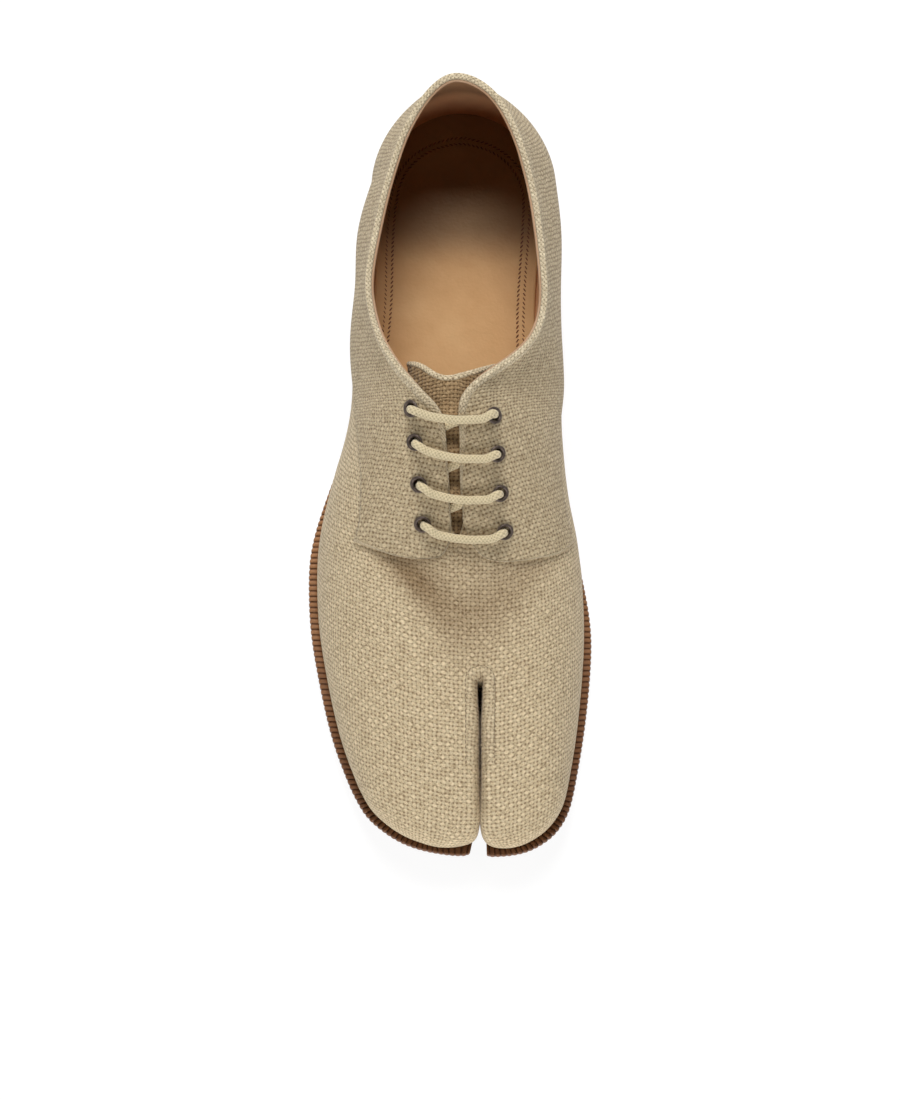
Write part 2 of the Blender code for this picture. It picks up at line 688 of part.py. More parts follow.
# Heel block: from the heel breast to the back, on the floor, a little smaller below
HEEL_INSET = 0.5
HEEL_TAPER = 1.2
heel_y = np.linspace(BREAST_Y, HEEL_Y, 4)
heel_turn = np.linspace(0, 1.48, 8)[1:]
heel_left = np.stack([sole_x("lateral", heel_y), heel_y], -1)
heel_left = np.concatenate([heel_left, oval(SOLE_HEEL, heel_turn)])
heel_right = np.stack([sole_x("medial", heel_y), heel_y], -1)
heel_right = np.concatenate([heel_right, oval(SOLE_HEEL, math.pi - heel_turn)])
heel_middle = np.array([SOLE_HEEL["x"], HEEL_Y])


def drawn_in(plan, by):
    """Plan points moved towards the middle of the heel, except along the breast."""
    away = plan - heel_middle
    away[:, 1] = np.maximum(away[:, 1], 0)
    return plan - away / np.linalg.norm(away, axis=1, keepdims=True) * by


heel_rows = []
for plan_left, plan_right, z in (
    (drawn_in(heel_left, HEEL_INSET + HEEL_TAPER), drawn_in(heel_right, HEEL_INSET + HEEL_TAPER), None),
    (drawn_in(heel_left, HEEL_INSET), drawn_in(heel_right, HEEL_INSET), underside),
):
    for plan in (plan_left, plan_right):
        heel_rows.append(np.column_stack([plan, np.zeros(len(plan)) if z is None else z(plan[:, 1]) - GAP]))
low_left, low_right, high_left, high_right = heel_rows
heel_leather = plain_material("heel_leather", (0.16, 0.07, 0.03), 0.5)
heel_points = np.stack([low_left, low_right, high_right, high_left], 1)
new_object("heel", heel_points, tube_faces(len(heel_points), 4), heel_leather, parts)

# Lace bars: out of one eyelet, over both facings and into the opposite eyelet
lace_cotton = plain_material("lace_cotton", (0.66, 0.58, 0.44), 0.85)
BAR_OVER = 2.2
BAR_LIFT = 1.6
BAR_END = -0.6
BAR_POINTS = 13


def arch_normal(x, y):
    step = 1.5
    along_x = (arch_z(x + step, y) - arch_z(x - step, y)) / (2 * step)
    along_y = (arch_z(x, y + step) - arch_z(x, y - step)) / (2 * step)
    normal = np.array([-along_x, -along_y, 1.0])
    return normal / np.linalg.norm(normal)


def bar_end(centre, axis, other):
    """Points from inside an eyelet, up and over its rim towards the other eyelet."""
    towards = other - centre
    towards -= axis * np.dot(towards, axis)
    towards /= np.linalg.norm(towards)
    places = ((BAR_END, 0.0), (2.2, 0.2), (3.2, 1.9))
    return [centre + axis * up + towards * out for up, out in places]


def bar_path(row):
    """Middle line of a lace bar, bowed towards the toe."""
    (left, left_axis), (right, right_axis) = eyelets["lateral", row], eyelets["medial", row]
    start = bar_end(left, left_axis, right)
    end = bar_end(right, right_axis, left)
    share = np.linspace(0.15, 0.85, BAR_POINTS - 6)
    over = []
    for s in share:
        x, y = (left + (right - left) * s)[:2]
        y -= LACE_BOW * 4 * s * (1 - s)
        base = np.array([x, y, arch_z(x, y)])
        over.append(base + arch_normal(x, y) * (BAR_OVER + BAR_LIFT * abs(2 * s - 1) ** 3))
    return np.array(start + over + end[::-1])


for row in range(len(EYELET["lateral_x"])):
    path = bar_path(row)
    curve = bpy.data.curves.new(f"lace_bar_{row + 1}", "CURVE")
    curve.dimensions = "3D"
    curve.bevel_depth = LACE_RADIUS * MM
    curve.bevel_resolution = 1
    curve.use_fill_caps = True
    line = curve.splines.new("POLY")
    line.points.add(len(path) - 1)
    for point, place in zip(line.points, path * MM):
        point.co = (*place, 1.0)
    curve.materials.append(lace_cotton)
    parts.objects.link(bpy.data.objects.new(f"lace_bar_{row + 1}", curve))
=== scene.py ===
"""Looks of a right tabi lace-up shoe: split-toe linen upper, leather insole, ribbed welt, sole and heel.

Tables and functions are in millimetres, meshes in metres. +Z is up, the toe points to -Y, the big toe lies
to +X. A station is a place along the foot: its y as far as the heel curve, then a count round the heel. A
share runs from 0 at the feather line, where the upper meets the sole, to 1 at the top line.
"""

import math

import bmesh
import bpy
import numpy as np
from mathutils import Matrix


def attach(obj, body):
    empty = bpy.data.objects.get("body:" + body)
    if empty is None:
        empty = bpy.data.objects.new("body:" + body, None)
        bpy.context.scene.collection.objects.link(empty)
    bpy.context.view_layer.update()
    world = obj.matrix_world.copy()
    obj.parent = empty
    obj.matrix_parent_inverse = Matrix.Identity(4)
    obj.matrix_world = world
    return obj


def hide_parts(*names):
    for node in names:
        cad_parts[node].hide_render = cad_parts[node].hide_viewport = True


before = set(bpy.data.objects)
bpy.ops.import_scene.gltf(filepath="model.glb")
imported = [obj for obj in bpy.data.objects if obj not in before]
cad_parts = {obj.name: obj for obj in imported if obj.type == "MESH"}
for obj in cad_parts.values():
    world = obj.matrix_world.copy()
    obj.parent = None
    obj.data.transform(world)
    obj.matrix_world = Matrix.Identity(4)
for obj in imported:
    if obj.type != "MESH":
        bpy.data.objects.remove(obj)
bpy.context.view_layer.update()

# Insole
# A board of tan leather cut to the shape of the foot and split between the toes. It lies on the outsole inside
# the upper, a little cupped at its edge.
MM = 0.001
GAP = 0.3
WALL = 2.2
OUTSOLE_THICK = 5.0
INSOLE_THICK = 2.5
INSOLE_CUP = 1.4
HEEL_Y = 112.0
BRANCH_Y = -60.0
ROOT_Y = -86.0
TOE_Y = -122.0
SLIT_X = 11.6
SLIT_HALF = 1.2
CORE_X = 6.0
LOBE_CORE_OUT = 20.0
LOBE_CORE_POWER = 0.4
SOLE_HEEL = {"x": 4.25, "wide": 34.75, "deep": 37.0, "power": 2.0}
FEATHER_HEEL = {"x": 4.25, "wide": 33.55, "deep": 35.4, "power": 2.0}


def table(columns, *rows):
    """Rows of numbers as a dict of named columns."""
    return {name: np.array(column, float) for name, column in zip(columns.split(), zip(*rows))}


SECTION = table(
    "y sole_lateral sole_medial inset_lateral inset_medial swell_lateral swell_medial",
    (112, -30.5, 39.0, 1.2, 1.2, 5.5, 11.5),
    (90, -32.6, 38.4, 1.8, 1.8, 13.5, 17),
    (70, -34.0, 38.0, 2.8, 2.8, 13, 18),
    (50, -36.0, 38.0, 3.0, 3.0, 14, 19),
    (30, -38.6, 39.2, 3.0, 3.0, 10, 22),
    (10, -43.0, 41.6, 3.0, 3.0, 8, 21),
    (-10, -50.0, 45.6, 3.4, 3.2, 6, 17),
    (-28, -54.9, 50.1, 4.0, 3.8, 4, 15.5),
    (-44, -55.6, 53.5, 4.2, 4.2, 4, 11),
    (-60, -54.6, 55.6, 4.2, 4.2, 4, 6),
    (-76, -52.0, 55.2, 4.2, 4.2, 4, 4.5),
    (-92, -48.6, 53.6, 4.2, 4.1, 4, 4),
    (-107, -44.4, 51.4, 4.2, 4.0, 4, 4),
    (-122, -38.6, 48.6, 4.2, 4.0, 4, 4),
)
UNDERSIDE = table(
    "y z",
    (149, 25.5),
    (115, 24.0),
    (85, 22.3),
    (60, 18.6),
    (30, 11.8),
    (0, 4.6),
    (-20, 0.7),
    (-34, -0.5),
    (-54, -0.8),
    (-76, -0.5),
    (-95, 0.7),
    (-120, 3.2),
    (-149, 7.6),
)
LATERAL_TOE = table(
    "sole_x sole_y feather_x feather_y",
    (-38.6, -122.0, -34.4, -122.0),
    (-33.6, -131.3, -30.0, -129.8),
    (-27.9, -137.4, -24.8, -135.2),
    (-20.5, -142.6, -18.4, -139.8),
    (-11.8, -146.2, -10.6, -143.2),
    (-2.0, -148.2, -2.4, -145.0),
    (5.6, -148.6, 6.2, -144.0),
    (8.4, -146.4, 9.3, -140.6),
    (9.9, -138.0, 10.3, -133.6),
    (10.6, -122.0, 10.4, -122.0),
)
MEDIAL_TOE = table(
    "sole_x sole_y feather_x feather_y",
    (48.6, -122.0, 44.6, -122.0),
    (46.4, -130.5, 42.6, -129.4),
    (43.0, -137.2, 39.4, -135.2),
    (38.4, -142.2, 35.0, -139.8),
    (31.6, -146.4, 29.2, -143.4),
    (24.0, -148.5, 22.8, -145.2),
    (16.6, -149.0, 16.4, -144.6),
    (13.7, -147.2, 13.8, -140.8),
    (13.1, -138.0, 12.9, -133.6),
    (12.6, -122.0, 12.8, -122.0),
)
TOE = {"lateral": LATERAL_TOE, "medial": MEDIAL_TOE}
OUT = {"lateral": -1.0, "medial": 1.0}


def spline(knots, values, x):
    """Natural cubic spline through the knots, read at x of any shape."""
    order = np.argsort(knots)
    k = np.asarray(knots, float)[order]
    v = np.asarray(values, float)[order]
    n = len(k)
    h = np.diff(k)
    a = np.eye(n)
    b = np.zeros(n)
    for i in range(1, n - 1):
        a[i, i - 1 : i + 2] = h[i - 1], 2 * (h[i - 1] + h[i]), h[i]
        b[i] = 6 * ((v[i + 1] - v[i]) / h[i] - (v[i] - v[i - 1]) / h[i - 1])
    m = np.linalg.solve(a, b)
    x = np.asarray(x, float)
    i = np.clip(np.searchsorted(k, x) - 1, 0, n - 2)
    past = x - k[i]
    left = k[i + 1] - x
    w = h[i]
    bend = (m[i] * left**3 + m[i + 1] * past**3) / (6 * w)
    return bend + (v[i] / w - m[i] * w / 6) * left + (v[i + 1] / w - m[i + 1] * w / 6) * past


def column(rows, name, y):
    """One column of a table of sections, at y."""
    return spline(rows["y"], rows[name], y)


def underside(y):
    """Underside of the outsole: flat under the forefoot, raised at the arch, the heel seat and the toe."""
    return np.maximum(column(UNDERSIDE, "z", y), 0.0)


def seat(y):
    """Top of the outsole."""
    return underside(y) + OUTSOLE_THICK


def sole_x(side, y):
    """Edge of the outsole on one side."""
    return column(SECTION, "sole_" + side, y)


def feather_x(side, y):
    """Feather line on one side: the outsole's edge less the inset."""
    return sole_x(side, y) - OUT[side] * column(SECTION, "inset_" + side, y)


def along_toe(side, name, share):
    """A toe table's column by share of its way round, 0 on the outer side and 1 at the slit."""
    return spline(np.linspace(0, 1, len(TOE[side]["sole_x"])), TOE[side][name], share)


def slit_plan(side, y, half):
    """Slit wall at ridge stations y: straight along the slit, then a quarter circle round its root."""
    turn = np.clip((y - ROOT_Y) / (BRANCH_Y - ROOT_Y), 0, 1) * math.pi / 2
    x = SLIT_X + OUT[side] * half * np.cos(turn)
    return np.stack([x, np.minimum(y, ROOT_Y) + half * np.sin(turn)], -1)


def oval(form, turn):
    """Half an oval behind HEEL_Y, from the lateral side (turn 0) round to the medial side (turn pi)."""
    c = np.cos(turn)
    s = np.sin(turn)
    x = form["x"] - form["wide"] * np.sign(c) * np.abs(c) ** (2 / form["power"])
    return np.stack([x, HEEL_Y + form["deep"] * np.abs(s) ** (2 / form["power"])], -1)


SLIT_Y = np.linspace(TOE_Y, BRANCH_Y, 43)
SIDE_Y = np.concatenate([np.linspace(HEEL_Y, BRANCH_Y, 116), SLIT_Y[::-1][1:]])
TOE_SHARE = np.linspace(0, 1, 45)
HEEL_TURN = np.linspace(0, math.pi, 61)[1:-1]


def plan_loop(edge, slit_half):
    """Outline of a bottom piece and, for each of its points, the middle-line point that it looks to."""
    read = sole_x if edge == "sole" else feather_x
    outline = []
    spine = []
    for side in ("lateral", "medial"):
        flank = np.stack([read(side, SIDE_Y), SIDE_Y], -1)
        share = TOE_SHARE[1:-1]
        toe = np.stack([along_toe(side, edge + "_x", share), along_toe(side, edge + "_y", share)], -1)
        slit = slit_plan(side, SLIT_Y, slit_half)
        past_branch = np.clip((BRANCH_Y - SIDE_Y) / (BRANCH_Y - TOE_Y), 0, 1)
        lobe_x = CORE_X + OUT[side] * LOBE_CORE_OUT * past_branch**LOBE_CORE_POWER
        mid = np.stack([lobe_x, SIDE_Y], -1)
        slit_mid = np.stack([np.interp(SLIT_Y, SIDE_Y[::-1], lobe_x[::-1]), SLIT_Y], -1)
        outline.append(np.concatenate([flank, toe, slit]))
        spine.append(np.concatenate([mid, np.repeat(mid[-1:], len(toe), 0), slit_mid]))
    heel = oval(SOLE_HEEL if edge == "sole" else FEATHER_HEEL, HEEL_TURN[::-1])
    loop = np.concatenate([outline[0], outline[1][::-1][1:], heel])
    core = np.concatenate([spine[0], spine[1][::-1][1:], np.repeat([[CORE_X, HEEL_Y]], len(heel), 0)])
    return loop, core


def between(outline, core, share):
    """Points at each share of the way from an outline to its middle line."""
    return outline[:, None] * (1 - share[:, None]) + core[:, None] * share[:, None]


def outward_of(loop):
    """Unit normals of an anticlockwise closed plan loop, pointing out."""
    run = np.roll(loop, -1, 0) - np.roll(loop, 1, 0)
    run /= np.linalg.norm(run, axis=1, keepdims=True)
    return np.stack([run[:, 1], -run[:, 0]], -1)


def grid_faces(rows, columns, ring=False, tube=False):
    """Quads of a grid. A ring joins the last row to the first, a tube the last column to the first."""
    i = np.arange(rows if ring else rows - 1)[:, None]
    k = np.arange(columns if tube else columns - 1)[None, :]
    a = i * columns
    b = (i + 1) % rows * columns
    n = (k + 1) % columns
    return np.stack([a + k, b + k, b + n, a + n], -1).reshape(-1, 4)


MERGE_WITHIN = 1e-6
DISSOLVE_WITHIN = 1e-7


def make_piece(name, points, faces, material, uv=None, inside=None):
    """Mesh object from millimetre points, doubles merged. uv gives a pair for each point. The faces of an open
    sheet are turned together, away from the point inside. A closed mesh gets its normals recalculated."""
    points = np.asarray(points, float).reshape(-1, 3)
    mesh = bpy.data.meshes.new(name)
    mesh.from_pydata((points * MM).tolist(), [], [list(face) for face in faces])
    if uv is not None:
        corner = np.zeros(len(mesh.loops), int)
        mesh.loops.foreach_get("vertex_index", corner)
        layer = mesh.uv_layers.new(name="cloth")
        layer.data.foreach_set("uv", np.asarray(uv, float).reshape(-1, 2)[corner].ravel())
    work = bmesh.new()
    work.from_mesh(mesh)
    bmesh.ops.remove_doubles(work, verts=work.verts, dist=MERGE_WITHIN)
    bmesh.ops.dissolve_degenerate(work, edges=work.edges, dist=DISSOLVE_WITHIN)
    if inside is None:
        bmesh.ops.recalc_face_normals(work, faces=work.faces)
    work.to_mesh(mesh)
    work.free()
    if inside is not None:
        centre = np.zeros(len(mesh.polygons) * 3)
        normal = np.zeros(len(mesh.polygons) * 3)
        mesh.polygons.foreach_get("center", centre)
        mesh.polygons.foreach_get("normal", normal)
        away = centre.reshape(-1, 3) - np.array(inside) * MM
        if np.sum(away * normal.reshape(-1, 3)) < 0:
            mesh.flip_normals()
    mesh.shade_smooth()
    mesh.materials.append(material)
    made = bpy.data.objects.new(name, mesh)
    bpy.context.scene.collection.objects.link(made)
    return made


def finish_piece(piece, slot, *nodes):
    """Fixes a piece to the shoe and hides the solids that it stands for. slot, its finish, is not used."""
    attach(piece, "root")
    if nodes:
        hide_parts(*nodes)


def new_material(name):
    """A material with its node tree and its Principled shader."""
    made = bpy.data.materials.new(name)
    made.use_nodes = True
    return made, made.node_tree, made.node_tree.nodes["Principled BSDF"]


def put(tree, socket, value):
    """Sets a socket to a number or a colour, or links another socket to it."""
    if isinstance(value, bpy.types.NodeSocket):
        tree.links.new(value, socket)
    else:
        socket.default_value = value


def maths(tree, operation, a, b=0.0, c=0.0):
    """Output of a Math node."""
    node = tree.nodes.new("ShaderNodeMath")
    node.operation = operation
    for socket, value in zip(node.inputs, (a, b, c)):
        put(tree, socket, value)
    return node.outputs[0]


def noise(tree, vector, scale, detail=2.0, roughness=0.5, output="Fac"):
    """Noise between 0 and 1 about one half, read at a vector."""
    node = tree.nodes.new("ShaderNodeTexNoise")
    put(tree, node.inputs["Vector"], vector)
    node.inputs["Scale"].default_value = scale
    node.inputs["Detail"].default_value = detail
    node.inputs["Roughness"].default_value = roughness
    return node.outputs[output]


def ramp(tree, value, *stops):
    """Colour ramp: stops are (place, linear colour)."""
    node = tree.nodes.new("ShaderNodeValToRGB")
    put(tree, node.inputs["Fac"], value)
    marks = node.color_ramp.elements
    while len(marks) < len(stops):
        marks.new(0.5)
    for mark, (place, colour) in zip(marks, stops):
        mark.position = place
        mark.color = (*colour, 1.0)
    return node.outputs["Color"]


def bump(tree, height, distance):
    """Normal from a height of 0 to 1 that stands for a distance in metres."""
    node = tree.nodes.new("ShaderNodeBump")
    node.inputs["Distance"].default_value = distance
    put(tree, node.inputs["Height"], height)
    return node.outputs["Normal"]


def times(tree, colour, factor):
    """A colour darkened by a factor."""
    node = tree.nodes.new("ShaderNodeVectorMath")
    node.operation = "SCALE"
    put(tree, node.inputs[0], colour)
    put(tree, node.inputs["Scale"], factor)
    return node.outputs[0]


def object_place(tree):
    """Place in the shoe's own coordinates, in metres."""
    return tree.nodes.new("ShaderNodeTexCoord").outputs["Object"]


def split(tree, vector):
    """The three numbers of a vector."""
    node = tree.nodes.new("ShaderNodeSeparateXYZ")
    put(tree, node.inputs[0], vector)
    return node.outputs


def faded(tree, value, low, high, start, end):
    """A smooth step from start, where the value is low, to end, where it is high."""
    node = tree.nodes.new("ShaderNodeMapRange")
    node.interpolation_type = "SMOOTHSTEP"
    put(tree, node.inputs["Value"], value)
    for socket, number in zip(("From Min", "From Max", "To Min", "To Max"), (low, high, start, end)):
        node.inputs[socket].default_value = number
    return node.outputs[0]


CLOUD_STOPS = (0.3, 0.7)
CLOUD_GLOSS = 0.25
CLOUD_GLOSS_START = 0.12
PORE_FINE = 0.7
PORE_COARSE_SCALE = 0.22
PORE_DEEP = 0.00012


def leather(name, dark, light, roughness, grain=900.0, cloud=28.0, shine=0.5, painted_shade=None):
    """Leather: clouds between two tones, fine pores as bump, and a roughness that follows the clouds. shine
    is the specular level. The last argument paints shade: it darkens the colour along an axis, given as the
    axis, from, to and the factor reached."""
    made, tree, shader = new_material(name)
    place = object_place(tree)
    tone = noise(tree, place, cloud, detail=5.0, roughness=0.6)
    colour = ramp(tree, tone, *zip(CLOUD_STOPS, (dark, light)))
    # Painted shade: the colour darkened along one axis of the shoe.
    if painted_shade:
        axis, low, high, reached = painted_shade
        colour = times(tree, colour, faded(tree, split(tree, place)[axis], low, high, 1.0, reached))
    put(tree, shader.inputs["Base Color"], colour)
    gloss = maths(tree, "MULTIPLY_ADD", tone, CLOUD_GLOSS, roughness - CLOUD_GLOSS_START)
    put(tree, shader.inputs["Roughness"], gloss)
    shader.inputs["Specular IOR Level"].default_value = shine
    coarse = noise(tree, place, grain * PORE_COARSE_SCALE)
    pores = maths(tree, "MULTIPLY_ADD", noise(tree, place, grain, detail=3.0), PORE_FINE, coarse)
    put(tree, shader.inputs["Normal"], bump(tree, pores, PORE_DEEP))
    return made


# Painted shade: the insole's colour falls to about half from 80 to 100 mm towards the heel, for the shadow of
# the heel counter.
INSOLE_PAINTED_SHADE = ("Y", 0.080, 0.1, 0.49)
INSOLE_TONES = (0.61, 0.338, 0.143), (0.75, 0.468, 0.224)
insole_leather = leather("insole_leather", *INSOLE_TONES, roughness=0.5, shine=0.2, painted_shade=INSOLE_PAINTED_SHADE)
INSOLE_CLEAR = 0.2
INSOLE_INSET = WALL + GAP + INSOLE_CLEAR
INSOLE_LIP = 1.2
LIP_REACH = 0.05
LIP_FRONT = 10.0
CUP_REACH = 0.06
CUP_DROP = 0.3
feather_loop, feather_core = plan_loop("feather", SLIT_HALF)
insole_loop = feather_loop - outward_of(feather_loop) * INSOLE_INSET
insole_share = np.array([0.0, 0.02, 0.05, 0.09, 0.14, 0.2, 0.3, 0.45, 0.6, 0.8, 1.0])
insole_plan = between(insole_loop, feather_core, insole_share)
insole_high = seat(insole_plan[..., 1]) + GAP
insole_floor = np.dstack([insole_plan[:, ::-1], insole_high[:, ::-1]])
insole_lip = INSOLE_LIP * np.exp(-insole_share / LIP_REACH) * np.clip(insole_plan[..., 1] / LIP_FRONT, 0, 1)
insole_rim = insole_plan + outward_of(feather_loop)[:, None] * insole_lip[..., None]
insole_cup = INSOLE_CUP * np.exp(-insole_share / CUP_REACH)
insole_top = np.dstack([insole_rim, insole_high + INSOLE_THICK + insole_cup - CUP_DROP])
insole_sheet = np.concatenate([insole_floor, insole_top], 1)
insole_faces = grid_faces(*insole_sheet.shape[:2], ring=True)
insole = make_piece("insole_board", insole_sheet, insole_faces, insole_leather)
finish_piece(insole, "insole_leather", "insole")

# Insole stitches
# Two rows of short waxed threads, dark brown, sewn into the board near its edge. They lie across the row at a
# slant, one row leaning to the heel and the other to the toe, and swing inwards round the heel.
STITCH_ROWS = ((3.1, 0.7), (5.5, -0.7))
STITCH_PITCH = 1.75
STITCH_LONG = 1.7
STITCH_THICK = 0.55
STITCH_FRONT_Y = 5.0
STITCH_SINK = 0.15
STITCH_HEEL_Y = 105.0
STITCH_HEEL_REACH = 38.0
STITCH_HEEL_IN = 6.2
STITCH_HEEL_POWER = 1.5
STITCH_TONES = (0.13, 0.045, 0.018), (0.23, 0.09, 0.036)
THREAD_GRAIN = 3000.0
SPINDLE = np.array([-1.0, -0.75, 0.0, 0.75, 1.0])
SPINDLE_AROUND = 6


def circle(steps):
    """Angles of evenly spaced points once round."""
    return np.arange(steps) / steps * 2 * math.pi


def beads(centre, along, up, long, thick):
    """Small closed spindles: a circle whose radius is sqrt(1 - s^4) at each place s along the stitch. long is
    one length or a length for each spindle."""
    turn = circle(SPINDLE_AROUND)
    radius = np.sqrt(1 - SPINDLE**4)[:, None]
    places = np.repeat(SPINDLE[:, None], SPINDLE_AROUND, 1)
    shape = np.stack([places, radius * np.cos(turn), radius * np.sin(turn)], -1).reshape(-1, 3)
    half_long = np.broadcast_to(long, len(centre))[:, None, None] / 2
    across = np.cross(up, along)
    points = (
        centre[:, None]
        + along[:, None] * shape[:, :1] * half_long
        + across[:, None] * shape[:, 1:2] * thick / 2
        + up[:, None] * shape[:, 2:] * thick / 2
    )
    faces = grid_faces(len(SPINDLE), SPINDLE_AROUND, tube=True)
    first = np.arange(len(centre)) * len(shape)
    return points.reshape(-1, 3), (faces[None] + first[:, None, None]).reshape(-1, 4)


def unit(vectors):
    """Vectors divided by their lengths."""
    return vectors / np.linalg.norm(vectors, axis=-1, keepdims=True)


def path_run(path):
    """Length along a path at each of its points."""
    return np.concatenate([[0.0], np.cumsum(np.linalg.norm(np.diff(path, axis=0), axis=1))])


def even_path(path, pitch):
    """A path read again at even steps of about pitch."""
    run = path_run(path)
    want = np.linspace(0, run[-1], max(int(run[-1] / pitch), 2))
    return np.stack([np.interp(want, run, path[:, k]) for k in range(path.shape[1])], -1)


behind = np.flatnonzero(insole_loop[:, 1] > STITCH_FRONT_Y)
half_way = len(insole_loop) / 2
behind = np.concatenate([behind[behind > half_way], behind[behind <= half_way]])
stitch_rows = []
for inset, lean in STITCH_ROWS:
    loop = insole_loop[behind]
    heel_share = np.clip((loop[:, 1] - STITCH_HEEL_Y) / STITCH_HEEL_REACH, 0, 1)
    row_inset = inset + STITCH_HEEL_IN * heel_share**STITCH_HEEL_POWER
    row = even_path(loop - outward_of(insole_loop)[behind] * row_inset[:, None], STITCH_PITCH)
    centre = np.column_stack([row, seat(row[:, 1]) + GAP + INSOLE_THICK - STITCH_SINK])
    run = unit(np.gradient(centre, axis=0))
    side_way = unit(np.cross(np.broadcast_to([0.0, 0.0, 1.0], run.shape), run))
    stitch_rows.append((centre, unit(run + side_way * lean), np.cross(run, side_way)))
stitch_frames = [np.concatenate(part) for part in zip(*stitch_rows)]
stitch_points, stitch_faces = beads(*stitch_frames, STITCH_LONG, STITCH_THICK)
stitch_thread = leather("stitch_thread", *STITCH_TONES, roughness=0.7, grain=THREAD_GRAIN)
insole_stitches = make_piece("insole_stitches", stitch_points, stitch_faces, stitch_thread)
finish_piece(insole_stitches, "insole_leather")

# Vamp
# The front panel of beige plain-weave linen, lasted over the toes and turned into the split between them. It
# runs on round the sides under the quarters as a low band, and it sinks into a soft crease in front of them,
# where painted shade darkens the cloth.
THROAT_Y = -36.0
HEEL_RUN = 50.0
CLOTH_THICK = 0.9
THREAD = 1.59
TOP_LINE = table(
    "y lateral_x lateral_z medial_x medial_z",
    (112, -20.9, 84.3, 28.6, 86.3),
    (100, -24.8, 81.0, 32.0, 82.8),
    (85, -28.5, 77.3, 34.7, 80.0),
    (70, -31.3, 75.2, 36.4, 78.0),
    (60, -31.9, 74.6, 37.0, 77.3),
    (50, -30.4, 75.1, 36.3, 77.8),
    (40, -27.4, 77.6, 33.0, 80.0),
    (32, -23.4, 81.0, 27.0, 83.3),
    (25, -18.9, 84.8, 18.6, 87.2),
    (18, -13.2, 88.6, 9.6, 90.6),
    (12, -7.9, 91.3, 5.0, 91.6),
    (6, -3.4, 90.0, 3.9, 90.0),
    (0, -1.9, 86.5, 4.1, 86.5),
    (-10, -1.1, 80.1, 4.3, 80.1),
    (-20, -0.4, 73.6, 4.6, 73.6),
    (-31, 0.7, 66.2, 4.9, 66.2),
    (-36, 2.9, 62.9, 2.9, 62.9),
)
VAMP_RIDGE = table("y x z", (-36, 2.9, 62.9), (-44, 3.4, 58.6), (-52, 4.4, 54.6), (-60, 6.0, 51.2))
LATERAL_RIDGE = table(
    "y x z", (-60, 6.0, 51.2), (-72, -0.5, 47.0), (-86, -7.5, 43.6), (-104, -12.5, 40.2), (-122, -14.0, 35.6)
)
MEDIAL_RIDGE = table(
    "y x z", (-60, 6.0, 51.2), (-72, 14.0, 47.4), (-86, 22.0, 44.4), (-104, 28.0, 41.2), (-122, 30.0, 36.6)
)
LOBE = {"lateral": LATERAL_RIDGE, "medial": MEDIAL_RIDGE}
FORM = table(
    "y rise crown drop",
    (112, 0.42, 0.40, 0.34),
    (40, 0.42, 0.45, 0.32),
    (22, 0.44, 0.50, 0.22),
    (8, 0.50, 0.52, 0.08),
    (-10, 0.56, 0.55, 0.02),
    (-36, 0.60, 0.58, 0.0),
    (-60, 0.62, 0.60, 0.0),
    (-86, 0.66, 0.60, 0.0),
    (-122, 0.72, 0.58, 0.0),
)
SLIT_FORM = {"rise": 1.0, "crown": 1.08, "weight": 2.2}
TOE_FORM = {"rise": 0.86, "crown": 0.58, "swell": 4.0}
HEEL_FORM = {"rise": 0.42, "crown": 0.40, "drop": 0.34}
HEEL_SWELL = table("turn swell", (0.0, 5.5), (0.8, 4.0), (1.57, 4.0), (2.4, 7.0), (3.1416, 11.5))
COLLAR_BACK = table(
    "turn x y z",
    (-1.0, -28.5, 85.0, 77.3),
    (-0.45, -24.8, 100.0, 81.0),
    (0.0, -20.9, 112.0, 84.3),
    (0.4, -16.9, 121.4, 87.0),
    (0.8, -10.8, 131.2, 89.7),
    (1.2, -4.0, 138.1, 91.4),
    (1.5708, 2.8, 140.4, 92.0),
    (1.94, 11.0, 138.1, 91.7),
    (2.34, 19.0, 131.2, 90.5),
    (2.74, 24.8, 121.4, 88.6),
    (3.1416, 28.6, 112.0, 86.3),
    (3.5916, 32.0, 100.0, 82.8),
    (4.1416, 34.7, 85.0, 80.0),
)


def top_point(side, y):
    """Outer top line at y: collar, facing edge, vamp ridge or lobe ridge."""
    y = np.asarray(y, float)
    on_vamp = y >= BRANCH_Y
    x = np.where(on_vamp, column(VAMP_RIDGE, "x", y), column(LOBE[side], "x", y))
    z = np.where(on_vamp, column(VAMP_RIDGE, "z", y), column(LOBE[side], "z", y))
    x = np.where(y >= THROAT_Y, column(TOP_LINE, side + "_x", y), x)
    z = np.where(y >= THROAT_Y, column(TOP_LINE, side + "_z", y), z)
    return np.stack([x, y, z], -1)


RIDGE_STEP = 0.5


def ridge_slope(side, y):
    """Plan direction of the ridge towards the toe, and its fall along that direction."""
    run = top_point(side, y - RIDGE_STEP) - top_point(side, y + RIDGE_STEP)
    length = np.linalg.norm(run[..., :2], axis=-1, keepdims=True)
    return run[..., :2] / length, run[..., 2] / length[..., 0]


